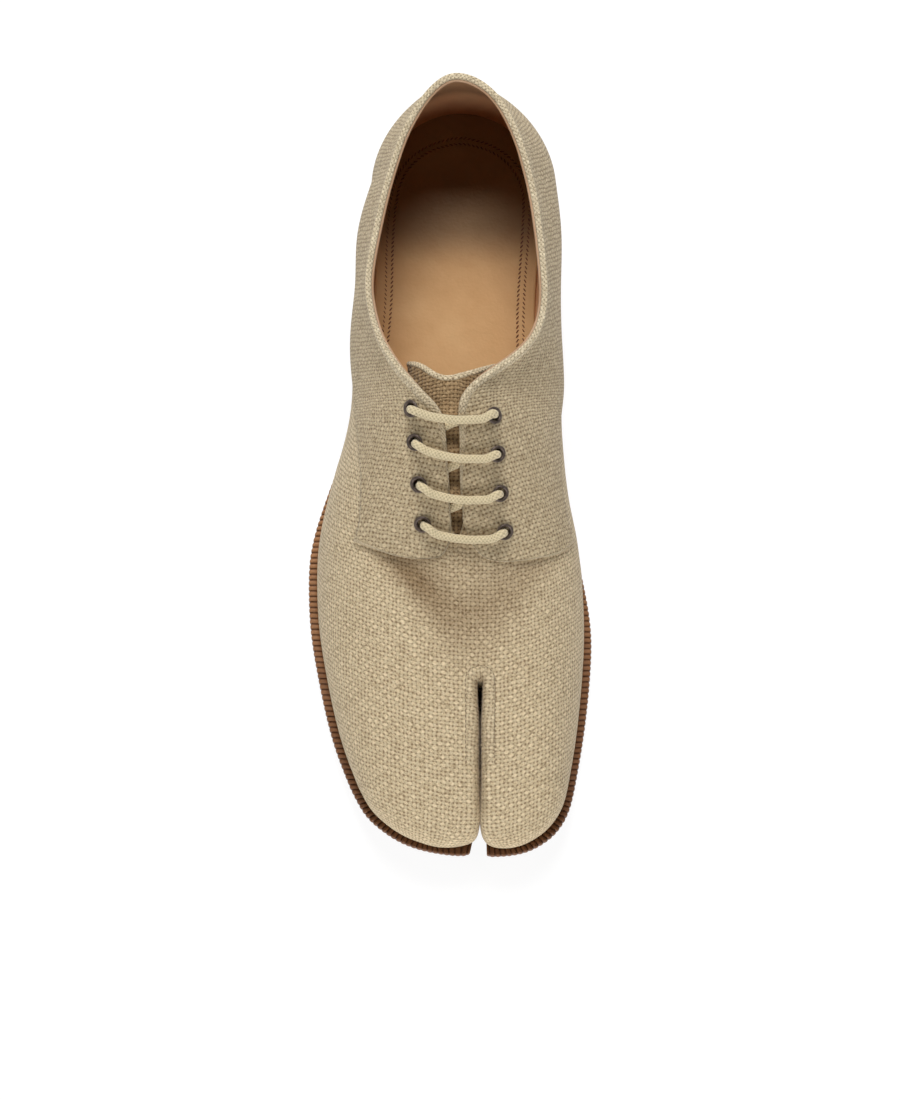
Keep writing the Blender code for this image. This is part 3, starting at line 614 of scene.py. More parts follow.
def bend_rib(foot, top, rise, crown, drop, swell, weight, tilt, t):
    """Rational cubic from foot to top at share t. The lower handle goes up by rise of the height and out by
    swell. The upper handle goes back towards the foot by crown of the plan distance and falls by drop of the
    height."""
    high = top[..., 2] - foot[..., 2]
    lower = foot + swell
    lower[..., 2] += rise * (high + tilt)
    upper = top + (foot - top) * np.array([1, 1, 0]) * np.asarray(crown)[..., None]
    upper[..., 2] += tilt - drop * high
    w = np.asarray(weight)
    blend = [(1 - t) ** 3, 3 * w * t * (1 - t) ** 2, 3 * w * t**2 * (1 - t), t**3]
    points = sum(b[..., None] * p for b, p in zip(blend, (foot, lower, upper, top)))
    return points / sum(blend)[..., None]


def on_seat(plan):
    """Plan points put on the outsole's top."""
    return np.concatenate([plan, seat(plan[..., 1:]) + GAP], -1)


def side_surface(side, y, t):
    """Outer face of the upper along the foot, in planes across it."""
    foot = on_seat(np.stack([feather_x(side, y), y], -1))
    swell = np.zeros_like(foot)
    swell[..., 0] = OUT[side] * column(SECTION, "swell_" + side, y)
    rise, crown, drop = (column(FORM, name, y) for name in ("rise", "crown", "drop"))
    top = top_point(side, y)
    return bend_rib(foot, top, rise, crown, np.maximum(drop, 0), swell, np.ones_like(y), 0.0, t)


def heel_surface(turn, t):
    """Outer face of the upper round the back of the heel."""
    foot = on_seat(oval(FEATHER_HEEL, turn))
    top = np.stack([spline(COLLAR_BACK["turn"], COLLAR_BACK[name], turn) for name in ("x", "y", "z")], -1)
    away = (foot - top) * np.array([1, 1, 0])
    bulge = spline(HEEL_SWELL["turn"], HEEL_SWELL["swell"], turn)
    swell = away * (bulge / np.linalg.norm(away, axis=-1))[..., None]
    flat = np.ones_like(turn)
    rise, crown, drop = (flat * HEEL_FORM[name] for name in ("rise", "crown", "drop"))
    return bend_rib(foot, top, rise, crown, drop, swell, flat, 0.0, t)


def surface(side, station, t):
    """Outer face of the upper at a station and share: the side as far as the heel curve, then the heel."""
    station, t = np.broadcast_arrays(np.asarray(station, float), np.asarray(t, float))
    turn = np.clip((station - HEEL_Y) / HEEL_RUN, 0, 1) * math.pi / 2
    turn = turn if side == "lateral" else math.pi - turn
    along = side_surface(side, np.minimum(station, HEEL_Y), t)
    return np.where((station > HEEL_Y)[..., None], heel_surface(turn, t), along)


NORMAL_STEP = 0.4
NORMAL_SHARE = 0.004


def surface_normal(side, station, t):
    """Unit outward normal by small steps along and up the surface."""
    along = surface(side, station + NORMAL_STEP, t) - surface(side, station - NORMAL_STEP, t)
    above = surface(side, station, np.minimum(t + NORMAL_SHARE, 1))
    below = surface(side, station, np.maximum(t - NORMAL_SHARE, 0))
    return OUT[side] * unit(np.cross(along, above - below))


RIDGE_PAST_BRANCH = 1.0


def lobe_surface(side, foot, y, slit, t):
    """Ribs down from a lobe's ridge at y, between the toe's form (slit 0) and the slit wall's (slit 1)."""
    top = np.broadcast_to(top_point(side, y), foot.shape)
    away = foot[..., :2] - top[..., :2]
    reach = np.linalg.norm(away, axis=-1, keepdims=True)
    bulge = away / reach * TOE_FORM["swell"] * (1 - slit)[..., None]
    swell = np.concatenate([bulge, np.zeros_like(reach)], -1)
    forward, fall = ridge_slope(side, np.minimum(y, BRANCH_Y - RIDGE_PAST_BRANCH))
    crown = TOE_FORM["crown"] + slit * (SLIT_FORM["crown"] - TOE_FORM["crown"])
    rise = TOE_FORM["rise"] + slit * (SLIT_FORM["rise"] - TOE_FORM["rise"])
    weight = 1 + slit * (SLIT_FORM["weight"] - 1)
    tilt = np.sum(away * forward, axis=-1) * fall * crown
    return bend_rib(foot, top, rise, crown, 0.0, swell, weight, tilt, t)


def ease(x, low, high):
    """0 before low, 1 past high, and s^2 (3 - 2 s) at each share s of the way from low to high."""
    s = np.clip((x - low) / (high - low), 0, 1)
    return s * s * (3 - 2 * s)


SLIT_TURN = (0.55, 0.9)


def toe_surface(side, share, t):
    """Outer face round the end of a lobe: ribs that fan out from the end of its ridge."""
    foot = on_seat(np.stack([along_toe(side, "feather_x", share), along_toe(side, "feather_y", share)], -1))
    return lobe_surface(side, foot, np.full_like(share, TOE_Y), ease(share, *SLIT_TURN), t)


def slit_surface(side, y, t):
    """Outer face from the slit wall up to a lobe's ridge."""
    return lobe_surface(side, on_seat(slit_plan(side, y, SLIT_HALF)), y, np.ones_like(y), t)


FRONT_EDGE = {
    "lateral": table(
        "station share",
        (-32.8, 0.520),
        (-36.5, 0.628),
        (-39.8, 0.733),
        (-41.3, 0.820),
        (-41.6, 0.885),
        (-40.6, 0.932),
        (-37.6, 0.957),
        (-33.4, 0.982),
        (-29.0, 1.0),
    ),
    "medial": table(
        "station share",
        (-30.2, 0.340),
        (-36.0, 0.460),
        (-39.2, 0.580),
        (-41.4, 0.700),
        (-42.3, 0.795),
        (-41.5, 0.868),
        (-38.8, 0.907),
        (-34.2, 0.955),
        (-29.0, 1.0),
    ),
}
LOWER_EDGE = {
    "lateral": table(
        "station share",
        (-32.8, 0.520),
        (-26.5, 0.552),
        (-18.8, 0.547),
        (-10.5, 0.530),
        (-1.8, 0.486),
        (6.8, 0.437),
        (22.5, 0.386),
        (40.0, 0.330),
        (75.0, 0.290),
        (112.0, 0.270),
        (162.0, 0.260),
    ),
    "medial": table(
        "station share",
        (-30.2, 0.340),
        (-22.0, 0.372),
        (-10.5, 0.378),
        (6.8, 0.350),
        (22.5, 0.325),
        (40.0, 0.300),
        (75.0, 0.275),
        (112.0, 0.262),
        (162.0, 0.260),
    ),
}
HEEL_STATION = HEEL_Y + HEEL_RUN


def lower_share(side, station):
    """Share of a quarter's lower edge at a station."""
    return spline(LOWER_EDGE[side]["station"], LOWER_EDGE[side]["share"], station)


def front_edge(side, b):
    """Station and share along a quarter's front edge, from its lower corner (0) to the facing (1)."""
    rows = FRONT_EDGE[side]
    knots = np.linspace(0, 1, len(rows["share"]))
    return spline(knots, rows["station"], b), spline(knots, rows["share"], b)


SLIT_CLOSE = table(
    "y edge deep",
    (-149, 0.2, 0.2),
    (-145, 1.2, 1.2),
    (-141, 1.5, 1.7),
    (-136, 1.0, 1.6),
    (-131, 0.75, 1.4),
    (-118, 0.78, 1.4),
    (-100, 0.4, 1.4),
    (-91, -0.1, 1.4),
    (-84, -0.3, 0.9),
    (-76, 0.0, 0.0),
)
SLIT_DEEP_HIGH = (16.0, 24.0)
SLIT_LEAST = 0.02
SLIT_PRESS_WIDE = 4.0


def close_slit(points):
    """The two lobes pressed towards each other: every point moves to the slit by a length that falls off with
    its distance from it. The lobes almost touch low in the slit and part towards its edge."""
    away = points[..., 0] - SLIT_X
    high = ease(points[..., 2] - seat(points[..., 1]), *SLIT_DEEP_HIGH)
    edge = np.interp(points[..., 1], SLIT_CLOSE["y"], SLIT_CLOSE["edge"])
    deep = np.interp(points[..., 1], SLIT_CLOSE["y"], SLIT_CLOSE["deep"])
    by = deep + (edge - deep) * high
    moved = points.copy()
    left = np.maximum(np.abs(away) - by * np.exp(-((away / SLIT_PRESS_WIDE) ** 2)), SLIT_LEAST)
    moved[..., 0] = SLIT_X + np.sign(away) * left
    return moved


STATIONS = np.concatenate([np.linspace(HEEL_STATION, HEEL_Y, 31)[:-1], SIDE_Y])
RIB_POINTS = 64
RIB_CLOSE = 1.15
RIB_T = 1 - (1 - np.linspace(0, 1, RIB_POINTS)) ** RIB_CLOSE
LAP = 0.09
LAP_FRONT_Y = -24.0
LAP_BACK_Y = -8.0


def rib_run(grid):
    """Length along each rib from its foot."""
    step = np.linalg.norm(np.diff(grid, axis=1), axis=-1)
    return np.concatenate([np.zeros((len(grid), 1)), np.cumsum(step, axis=1)], 1)


def ridge_run(y):
    """Length along the top of the foot from the throat, negative towards the toe, even behind the throat."""
    reach = np.linspace(TOE_Y, THROAT_Y, 200)
    run = path_run(top_point("lateral", reach)[:, 1:])
    return np.where(y < THROAT_Y, np.interp(y, reach, run) - run[-1], y - THROAT_Y)


def unrolled(grid, top_x, top_y, way, length):
    """Flat cloth coordinates: from the ridge point, along the rib's plan direction, by its length down."""
    down = (length - rib_run(grid))[..., None]
    start = np.stack([top_x, ridge_run(top_y)], -1)[:, None]
    return start + way[:, None] * down


WEFT_BOW = {"lateral": (0.62, 52.0), "medial": (0.55, 22.0)}


def bowed(side, cloth):
    """Cloth coordinates with the weft bowed: its slope grows from 0 at the slit to a limit beside it."""
    limit, reach = WEFT_BOW[side]
    bow = limit * (np.hypot(cloth[..., 0] - SLIT_X, reach) - reach)
    return np.stack([cloth[..., 0], cloth[..., 1] - bow], -1)


def upper_sheet(top_share):
    """Ribs of the whole upper from the lateral back seam round the toes to the medial back seam, and the
    cloth's flat coordinates. top_share(side, station) is how far up the ribs of the sides go."""
    points = []
    cloth = []
    t = RIB_T[None, :]
    for side in ("lateral", "medial"):
        flank = surface(side, STATIONS[:, None], top_share(side, STATIONS)[:, None] * t)
        ahead = np.minimum(STATIONS, THROAT_Y)
        whole = rib_run(surface(side, ahead[:, None], t))[:, -1:]
        at = top_point(side, ahead)
        way = np.broadcast_to([OUT[side], 0.0], (len(STATIONS), 2))
        flank_cloth = unrolled(flank, at[:, 0], STATIONS, way, whole)
        share = TOE_SHARE[1:-1]
        toe = toe_surface(side, share[:, None], t)
        slit = slit_surface(side, SLIT_Y[:, None], t)
        half_cloth = [flank_cloth]
        for ribs, top_y in ((toe, np.full(len(share), TOE_Y)), (slit, SLIT_Y)):
            at = top_point(side, top_y)
            way = unit(ribs[:, 0, :2] - at[:, :2])
            half_cloth.append(unrolled(ribs, at[:, 0], top_y, way, rib_run(ribs)[:, -1:]))
        half = np.concatenate([flank, toe, slit])
        half_cloth = bowed(side, np.concatenate(half_cloth))
        points.append(half if side == "lateral" else half[::-1][1:])
        cloth.append(half_cloth if side == "lateral" else half_cloth[::-1][1:])
    return close_slit(np.concatenate(points)), np.concatenate(cloth) / THREAD


def vamp_top(side, station):
    """Up to the ridge in front of the throat, then down to a lap under the quarter's lower edge."""
    return 1 - ease(station, LAP_FRONT_Y, LAP_BACK_Y) * (1 - lower_share(side, station) - LAP)


FACING_FROM = 0.9


def edge_ahead(points):
    """How far in front of the quarters' front edges a point lies, along the foot."""
    lines = []
    for side in ("lateral", "medial"):
        station, share = front_edge(side, np.linspace(0, FACING_FROM, 40))
        line = surface(side, station, share)[:, :2]
        lines.append(line if side == "lateral" else line[::-1])
    line = np.concatenate(lines)
    return np.interp(points[:, 0], line[:, 0], line[:, 1]) - points[:, 1], line[[0, -1], 0]


UNDER_QUARTER = 1.0
UNDER_FADE = 7.0
UNDER_FRONT_Y = -38.0
UNDER_FRONT_FADE = 6.0
LOWER_FRONT_Y = -33.0
MIDDLE_X = 4.0
CREASE = table(
    "x y shade deep toe_wide",
    (-36.0, -31.0, 0.0, 0.0, 3.0),
    (-26.0, -39.5, 0.60, 0.9, 4.5),
    (-16.0, -46.8, 1.0, 1.5, 7.0),
    (-8.5, -52.4, 0.93, 1.3, 10.5),
    (-1.0, -58.2, 0.76, 0.8, 15.0),
    (7.0, -60.0, 0.66, 0.6, 18.0),
    (14.6, -57.0, 0.61, 0.6, 18.0),
    (22.0, -52.0, 0.55, 0.6, 16.0),
    (34.0, -42.0, 0.42, 0.6, 9.0),
    (44.0, -35.0, 0.0, 0.0, 6.0),
)
CREASE_HEEL_WIDE = 7.0
TROUGH_WIDE = 7.0


def creased(points, name, rest):
    """A column of the crease's table at points: full on the crease's line, a U in front of the quarters, and
    falling as a bell to both sides. rest is the share that stays on the heel side, up to the quarters."""
    x = np.clip(points[:, 0], CREASE["x"][0], CREASE["x"][-1])
    away = points[:, 1] - spline(CREASE["x"], CREASE["y"], x)
    toe_wide = np.interp(x, CREASE["x"], CREASE["toe_wide"])
    if name == "deep":
        toe_wide = np.minimum(toe_wide, TROUGH_WIDE)
    heel_side = rest + (1 - rest) * np.exp(-((away / CREASE_HEEL_WIDE) ** 2))
    toe_side = np.exp(-((away / toe_wide) ** 2))
    return spline(CREASE["x"], CREASE[name], x) * np.where(away > 0, heel_side, toe_side)


def vamp_depth(points):
    """How far the vamp sinks: under the quarters and their lower edges, and in the crease before them."""
    ahead, ends = edge_ahead(points)
    x, y, z = points.T
    inside_ends = [np.clip(room / UNDER_FADE + 1, 0, 1) for room in (x - ends[0], ends[1] - x)]
    near_edge = np.exp(-((np.maximum(ahead, 0) / UNDER_FADE) ** 2))
    under = UNDER_QUARTER * near_edge * inside_ends[0] * inside_ends[1]
    station = np.linspace(LOWER_FRONT_Y, HEEL_Y, 60)
    lines = [surface(side, station, lower_share(side, station)) for side in ("lateral", "medial")]
    heights = [np.interp(y, line[:, 1], line[:, 2]) for line in lines]
    edge_z = np.where(x < MIDDLE_X, *heights)
    behind_front = np.clip((y - UNDER_FRONT_Y) / UNDER_FRONT_FADE, 0, 1)
    rising = np.clip((z - edge_z) / UNDER_FADE + 1, 0, 1) * behind_front
    return -np.maximum(under + creased(points, "deep", 0.0), UNDER_QUARTER * rising)


def press(piece, depth):
    """Moves every vertex along its normal by depth, in millimetres, as a function of the vertices."""
    mesh = piece.data
    place = np.zeros(len(mesh.vertices) * 3)
    normal = np.zeros(len(mesh.vertices) * 3)
    mesh.vertices.foreach_get("co", place)
    mesh.vertices.foreach_get("normal", normal)
    place = place.reshape(-1, 3)
    moved = place + normal.reshape(-1, 3) * depth(place / MM)[:, None] * MM
    mesh.vertices.foreach_set("co", moved.ravel())
    mesh.update()


def thicken(piece, thick):
    """Gives a sheet its thickness, inwards."""
    wall = piece.modifiers.new("thickness", "SOLIDIFY")
    wall.thickness = thick * MM
    wall.offset = -1


def blend(tree, kind, share, under, over):
    """A colour mixed with, or multiplied by, another one by a share."""
    node = tree.nodes.new("ShaderNodeMix")
    node.data_type = "RGBA"
    node.blend_type = kind
    node.clamp_result = False
    for k, value in ((0, share), (6, under), (7, over)):
        put(tree, node.inputs[k], value)
    return node.outputs[2]


DRIFT_SCALE = 0.3
DRIFT_BY = 1.3
SLUB_STEP = 3.7
SLUB_STRETCH = 0.3
SLUB_APART = 7.0
SLUB_LIFT = 0.3
OVER_LIFT = 0.42
BAR_ROUND = 0.5
WEFT_LIFT = 0.1
FINE_SCALE = 3.0
FINE_BY = 1.6
FINE_LIFT = 0.5
UNEVEN_SCALE = 1.2
UNEVEN_BY = 0.5
SLUB_TONE = (0.55, 0.23)
TONE_STOPS = (0.17, 0.31, 0.50, 0.72)
BROWN_SLUB = (0.5, 0.42, 0.36)
HOLE_NOISE_SCALE = 0.5
HOLE_NOISE_BY = 0.95
HOLE_FROM = 0.16
HOLE_FULL = 0.5
RELIEF_PAINTED_SHADE = (0.27, 0.62)
WARP_TONE = (-0.14, 1.06)


def linen(name, dark, middle, light, turn=0.0, pitch=1.0, deep=0.0002, open_weave=0.8, tint=None):
    """Plain weave on flat cloth coordinates counted in threads. Each thread is a rounded bar that rises where
    it crosses over, by the sine of the other count, and dips where it crosses under; the higher bar shows.
    Its colour is darker where it dips and lighter on its crown, a painted shade of the weave's relief.
    The holes between four threads, where both sines are near 0, are dark. Noise bends the threads and tints
    each along its length, with a brown slub now and then. tint is an attribute's name and the colour it
    multiplies by."""
    made, tree, shader = new_material(name)
    turned = tree.nodes.new("ShaderNodeMapping")
    turned.inputs["Rotation"].default_value = (0, 0, turn)
    turned.inputs["Scale"].default_value = (1 / pitch, 1 / pitch, 1)
    put(tree, turned.inputs["Vector"], tree.nodes.new("ShaderNodeUVMap").outputs["UV"])
    flat = turned.outputs[0]
    apart = split(tree, flat)
    shift = tree.nodes.new("ShaderNodeSeparateColor")
    put(tree, shift.inputs[0], noise(tree, flat, DRIFT_SCALE, detail=3.0, roughness=0.6, output="Color"))
    count = []
    for k in (0, 1):
        moved = maths(tree, "SUBTRACT", shift.outputs[k], 0.5)
        count.append(maths(tree, "MULTIPLY_ADD", moved, DRIFT_BY, apart[k]))
    waves = [maths(tree, "SINE", maths(tree, "MULTIPLY", own, math.pi)) for own in count]
    sizes = [maths(tree, "ABSOLUTE", wave) for wave in waves]
    bars = []
    slubs = []
    for own, other, sign, rise in ((0, 1, 1.0, 0.0), (1, 0, -1.0, WEFT_LIFT)):
        stretched = tree.nodes.new("ShaderNodeCombineXYZ")
        put(tree, stretched.inputs[own], maths(tree, "MULTIPLY", maths(tree, "FLOOR", count[own]), SLUB_STEP))
        put(tree, stretched.inputs[other], maths(tree, "MULTIPLY", count[other], SLUB_STRETCH))
        stretched.inputs[2].default_value = SLUB_APART * own
        slub = noise(tree, stretched.outputs[0], 1.0, roughness=0.6)
        way = maths(tree, "MULTIPLY", maths(tree, "SIGN", waves[own]), sign)
        over = maths(tree, "MULTIPLY", way, waves[other])
        bar = maths(tree, "MULTIPLY_ADD", over, OVER_LIFT, maths(tree, "POWER", sizes[own], BAR_ROUND))
        bars.append(maths(tree, "MULTIPLY_ADD", slub, SLUB_LIFT, maths(tree, "ADD", bar, rise)))
        slubs.append(slub)
    height = maths(tree, "MAXIMUM", *bars)
    on_top = maths(tree, "GREATER_THAN", *bars)
    shown = tree.nodes.new("ShaderNodeMix")
    for k, value in ((0, on_top), (2, slubs[1]), (3, slubs[0])):
        put(tree, shown.inputs[k], value)
    fine = noise(tree, flat, FINE_SCALE, detail=4.0, roughness=0.75)
    calm = maths(tree, "MULTIPLY_ADD", shown.outputs[0], *SLUB_TONE)
    uneven = maths(tree, "SUBTRACT", noise(tree, flat, UNEVEN_SCALE), 0.5)
    tone = maths(tree, "MULTIPLY_ADD", maths(tree, "SUBTRACT", fine, 0.5), FINE_BY, calm)
    tone = maths(tree, "MULTIPLY_ADD", uneven, UNEVEN_BY, tone)
    brown = tuple(part * by for part, by in zip(dark, BROWN_SLUB))
    colour = ramp(tree, tone, *zip(TONE_STOPS, (brown, dark, middle, light)))
    corner = maths(tree, "MULTIPLY", *(maths(tree, "SUBTRACT", 1.0, size) for size in sizes))
    ajar = maths(tree, "SUBTRACT", maths(tree, "ADD", fine, noise(tree, flat, HOLE_NOISE_SCALE)), 1.0)
    open_corner = maths(tree, "MULTIPLY_ADD", ajar, HOLE_NOISE_BY, corner)
    hole = faded(tree, open_corner, HOLE_FROM, HOLE_FULL, 0.0, open_weave)
    # Painted shade of the weave's relief: the colour is darker where the shown thread dips and lighter on its
    # crown.
    low = maths(tree, "MULTIPLY_ADD", height, *RELIEF_PAINTED_SHADE)
    low = maths(tree, "MULTIPLY", low, maths(tree, "MULTIPLY_ADD", on_top, *WARP_TONE))
    colour = blend(tree, "MIX", hole, times(tree, colour, low), (*brown, 1.0))
    if tint:
        mark = tree.nodes.new("ShaderNodeAttribute")
        mark.attribute_name = tint[0]
        colour = blend(tree, "MULTIPLY", mark.outputs["Fac"], colour, (*tint[1], 1.0))
    put(tree, shader.inputs["Base Color"], colour)
    shader.inputs["Roughness"].default_value = 0.92
    shader.inputs["Specular IOR Level"].default_value = 0.2
    shader.inputs["Sheen Weight"].default_value = 0.1
    shader.inputs["Sheen Roughness"].default_value = 0.5
    put(tree, shader.inputs["Normal"], bump(tree, maths(tree, "MULTIPLY_ADD", fine, FINE_LIFT, height), deep))
    return made


def mark_piece(piece, name, value):
    """Stores a number at each vertex, as a function of the vertices in millimetres."""
    mesh = piece.data
    place = np.zeros(len(mesh.vertices) * 3)
    mesh.vertices.foreach_get("co", place)
    layer = mesh.attributes.new(name, "FLOAT", "POINT")
    layer.data.foreach_set("value", np.asarray(value(place.reshape(-1, 3) / MM), np.float32))


INSIDE_SHOE = (4.0, 0.0, 25.0)
# Painted shade: the "crease" attribute darkens the vamp's cloth on the crease's line in front of the quarters,
# and by half between it and the quarters; the trough itself is pressed into the mesh.
CREASE_PAINTED_SHADE = (0.47, 0.40, 0.335)
CREASE_SHADE_REST = 0.5
VAMP_TONES = (0.44, 0.335, 0.20), (0.60, 0.48, 0.305), (0.72, 0.60, 0.40)
vamp_linen = linen("vamp_linen", *VAMP_TONES, tint=("crease", CREASE_PAINTED_SHADE))
vamp_points, vamp_cloth = upper_sheet(vamp_top)
vamp_faces = grid_faces(*vamp_points.shape[:2])
vamp = make_piece("vamp", vamp_points, vamp_faces, vamp_linen, vamp_cloth, INSIDE_SHOE)
mark_piece(vamp, "crease", lambda points: creased(points, "shade", CREASE_SHADE_REST))
press(vamp, vamp_depth)
thicken(vamp, CLOTH_THICK)
finish_piece(vamp, "linen", "upper")

# Quarters
# Two side panels of the same linen, cut with the threads a little askew. Each is sewn over the vamp, covers
# the side and the heel from the throat back, and meets the other at the back seam. Each has four holes.
QUARTER_THICK = 1.1
QUARTER_ALONG = np.linspace(0, 1, 190) ** 1.2
QUARTER_UP = np.linspace(0, 1, 66)
CLOTH_RAIL = np.linspace(-46, HEEL_STATION, 160)
CLOTH_SHARES = 80
MIDDLE_SHARE = 0.55
FRONT_BEND_POWER = 6
HOLE_RADIUS = 2.35
HOLE_DEEP = 5.0
EYELET = table(
    "lateral_x lateral_y medial_x medial_y",
    (-14.2, 9.7, 16.5, 7.6),
    (-12.9, -2.1, 17.8, -5.7),
    (-11.5, -16.4, 19.0, -19.1),
    (-10.1, -29.9, 20.8, -32.0),
)


def quarter_places(side, a, b):
    """Station and share in a quarter: a runs from its front edge to the back seam, b from its lower edge to
    the top line. Shares are spread evenly over the height, and near the front they are bent to lie on the
    front edge."""
    front, front_share = front_edge(side, b)
    station = front * (1 - a) + HEEL_STATION * a
    low = lower_share(side, station)
    low_front = lower_share(side, front)
    bend = front_share - low_front - (1 - low_front) * b
    return station, low + (1 - low) * b + (1 - a) ** FRONT_BEND_POWER * bend


def read_grid(values, i, k):
    """Bilinear reading of a grid at fractional row and column numbers."""
    row = np.clip(i.astype(int), 0, values.shape[0] - 2)
    place = np.clip(k.astype(int), 0, values.shape[1] - 2)
    i = i - row
    k = k - place
    first = values[row, place] * (1 - k) + values[row, place + 1] * k
    return first * (1 - i) + (values[row + 1, place] * (1 - k) + values[row + 1, place + 1] * k) * i


def quarter_cloth(side, station, share):
    """Flat cloth coordinates of a side: length along its middle line, and length up the rib from there."""
    ribs = surface(side, CLOTH_RAIL[:, None], np.linspace(0, 1, CLOTH_SHARES + 1)[None, :])
    middle = int(MIDDLE_SHARE * CLOTH_SHARES)
    up = rib_run(ribs)
    up -= up[:, middle : middle + 1]
    at = (station - CLOTH_RAIL[0]) / (CLOTH_RAIL[1] - CLOTH_RAIL[0])
    down = -OUT[side] * read_grid(up, at, share * CLOTH_SHARES)
    return np.stack([down, np.interp(station, CLOTH_RAIL, path_run(ribs[:, middle]))], -1) / THREAD


READ_SHARE = np.linspace(0.4, 1, 90)


def height_over(side, x, y):
    """Height of the upper's outer face over plan points near the throat, read along each point's rib."""
    rib = side_surface(side, y[..., None], READ_SHARE)
    inwards = -OUT[side] * rib[..., 0]
    want = (-OUT[side] * x)[..., None]
    i = np.clip(np.sum(inwards < want, axis=-1, keepdims=True) - 1, 0, len(READ_SHARE) - 2)
    low, high = (np.take_along_axis(inwards, i + k, -1) for k in (0, 1))
    low_z, high_z = (np.take_along_axis(rib[..., 2], i + k, -1) for k in (0, 1))
    return (low_z + (high_z - low_z) * np.clip((want - low) / (high - low), 0, 1))[..., 0]


def slope_normal(height, x, y, step):
    """Unit upward normal of a height over the plan, by steps to both sides."""
    along_x = (height(x + step, y) - height(x - step, y)) / (2 * step)
    along_y = (height(x, y + step) - height(x, y - step)) / (2 * step)
    return unit(np.stack([-along_x, -along_y, np.ones_like(x)], -1))


EYELET_STEP = 0.5
eyelet_centre = {}
eyelet_axis = {}
for side in ("lateral", "medial"):
    x = EYELET[side + "_x"]
    y = EYELET[side + "_y"]
    eyelet_centre[side] = np.stack([x, y, height_over(side, x, y)], -1)
    eyelet_axis[side] = slope_normal(lambda px, py: height_over(side, px, py), x, y, EYELET_STEP)


def punched(points, faces):
    """Faces without those that lie within a hole of one of the eyelets, measured from its axis."""
    middle = points.reshape(-1, 3)[faces].mean(1)
    keep = np.ones(len(faces), bool)
    for side in ("lateral", "medial"):
        away = middle[:, None] - eyelet_centre[side]
        along = np.sum(away * eyelet_axis[side], -1)
        across = np.linalg.norm(away - along[..., None] * eyelet_axis[side], axis=-1)
        keep &= ~np.any((across < HOLE_RADIUS) & (np.abs(along) < HOLE_DEEP), axis=1)
    return faces[keep]


# Painted shade: the quarters are the same linen as the vamp, coloured about a sixth darker.
QUARTER_PAINTED_SHADE_TONES = (0.36, 0.273, 0.160), (0.50, 0.398, 0.250), (0.607, 0.50, 0.328)
QUARTER_SKEW = {"lateral": math.radians(14), "medial": math.radians(-22)}
for side in ("lateral", "medial"):
    station, share = quarter_places(side, QUARTER_ALONG[:, None], QUARTER_UP[None, :])
    points = surface(side, station, share)
    quarter_linen = linen(f"quarter_linen_{side}", *QUARTER_PAINTED_SHADE_TONES, turn=QUARTER_SKEW[side])
    faces = punched(points, grid_faces(*points.shape[:2]))
    cloth = quarter_cloth(side, station, share)
    quarter = make_piece(f"quarter_{side}", points, faces, quarter_linen, cloth, INSIDE_SHOE)
    thicken(quarter, QUARTER_THICK)
    finish_piece(quarter, "linen", "upper")

# Turned edge
# The linen folded over the quarters' edges: a soft rounded hem, paler than the cloth and with its threads on
# the bias. It runs up one front edge and facing, round the collar, and down the other facing and front edge.
EDGE_WIDTH = table(
    "place lateral medial",
    (0, 1.2, 1.2),
    (0.33, 1.3, 1.3),
    (0.38, 2.8, 2.4),
    (0.44, 3.8, 3.0),
    (0.55, 3.2, 2.8),
    (0.75, 2.8, 2.6),
    (1, 2.6, 2.6),
)
EDGE_RISE = table("place rise", (0, 0.35), (0.33, 0.4), (0.42, 1.0), (1, 1.0))
EDGE_PITCH = 1.0
EDGE_OVERHANG = 2.0
EDGE_USUAL_WIDTH = 3.0
EDGE_TONES = (0.40, 0.31, 0.19), (0.58, 0.47, 0.31), (0.72, 0.61, 0.42)
PALE_TINT = (1.10, 1.13, 1.17)
PALE_FROM_Y = 4.0
PALE_REACH = 16.0
BIAS = math.radians(45)
HEM_THREAD = 0.8
ROUND_HEEL = {"lateral": slice(None), "medial": slice(-2, None, -1)}
EDGE_PROFILE = np.array(
    [
        (-1.0, -0.15),
        (-0.85, 0.10),
        (-0.55, 0.28),
        (-0.25, 0.32),
        (0.0, 0.24),
        (0.12, 0.0),
        (0.2, -0.5),
        (0.2, -1.1),
        (0.15, -1.6),
        (0.0, -2.0),
        (-0.2, -2.2),
        (-0.6, -2.2),
        (-1.0, -1.6),
    ]
)


def edge_line(side):
    """Points and normals along a quarter's front edge and top line, from the corner to the back seam."""
    front, share = front_edge(side, np.linspace(0, 1, 120))
    top = np.linspace(front[-1], HEEL_STATION, 300)[1:]
    station = np.concatenate([front, top])
    share = np.concatenate([share, np.ones(len(top))])
    return surface(side, station, share), surface_normal(side, station, share)


def carried(profile, path, normal):
    """A profile of (across, out) pairs carried along a path: out goes along the normal, across goes to the
    right of the path as seen against the normal. The profile may differ from point to point."""
    run = unit(np.gradient(path, axis=0))
    across = unit(np.cross(run, normal))
    out = np.cross(across, run)
    return path[:, None] + across[:, None] * profile[..., :1] + out[:, None] * profile[..., 1:]


def capped_tube(rows, around):
    """Faces of a tube with a lid on both ends."""
    last = (rows - 1) * around
    lids = [list(range(around)), list(range(last, last + around))[::-1]]
    return grid_faces(rows, around, tube=True).tolist() + lids


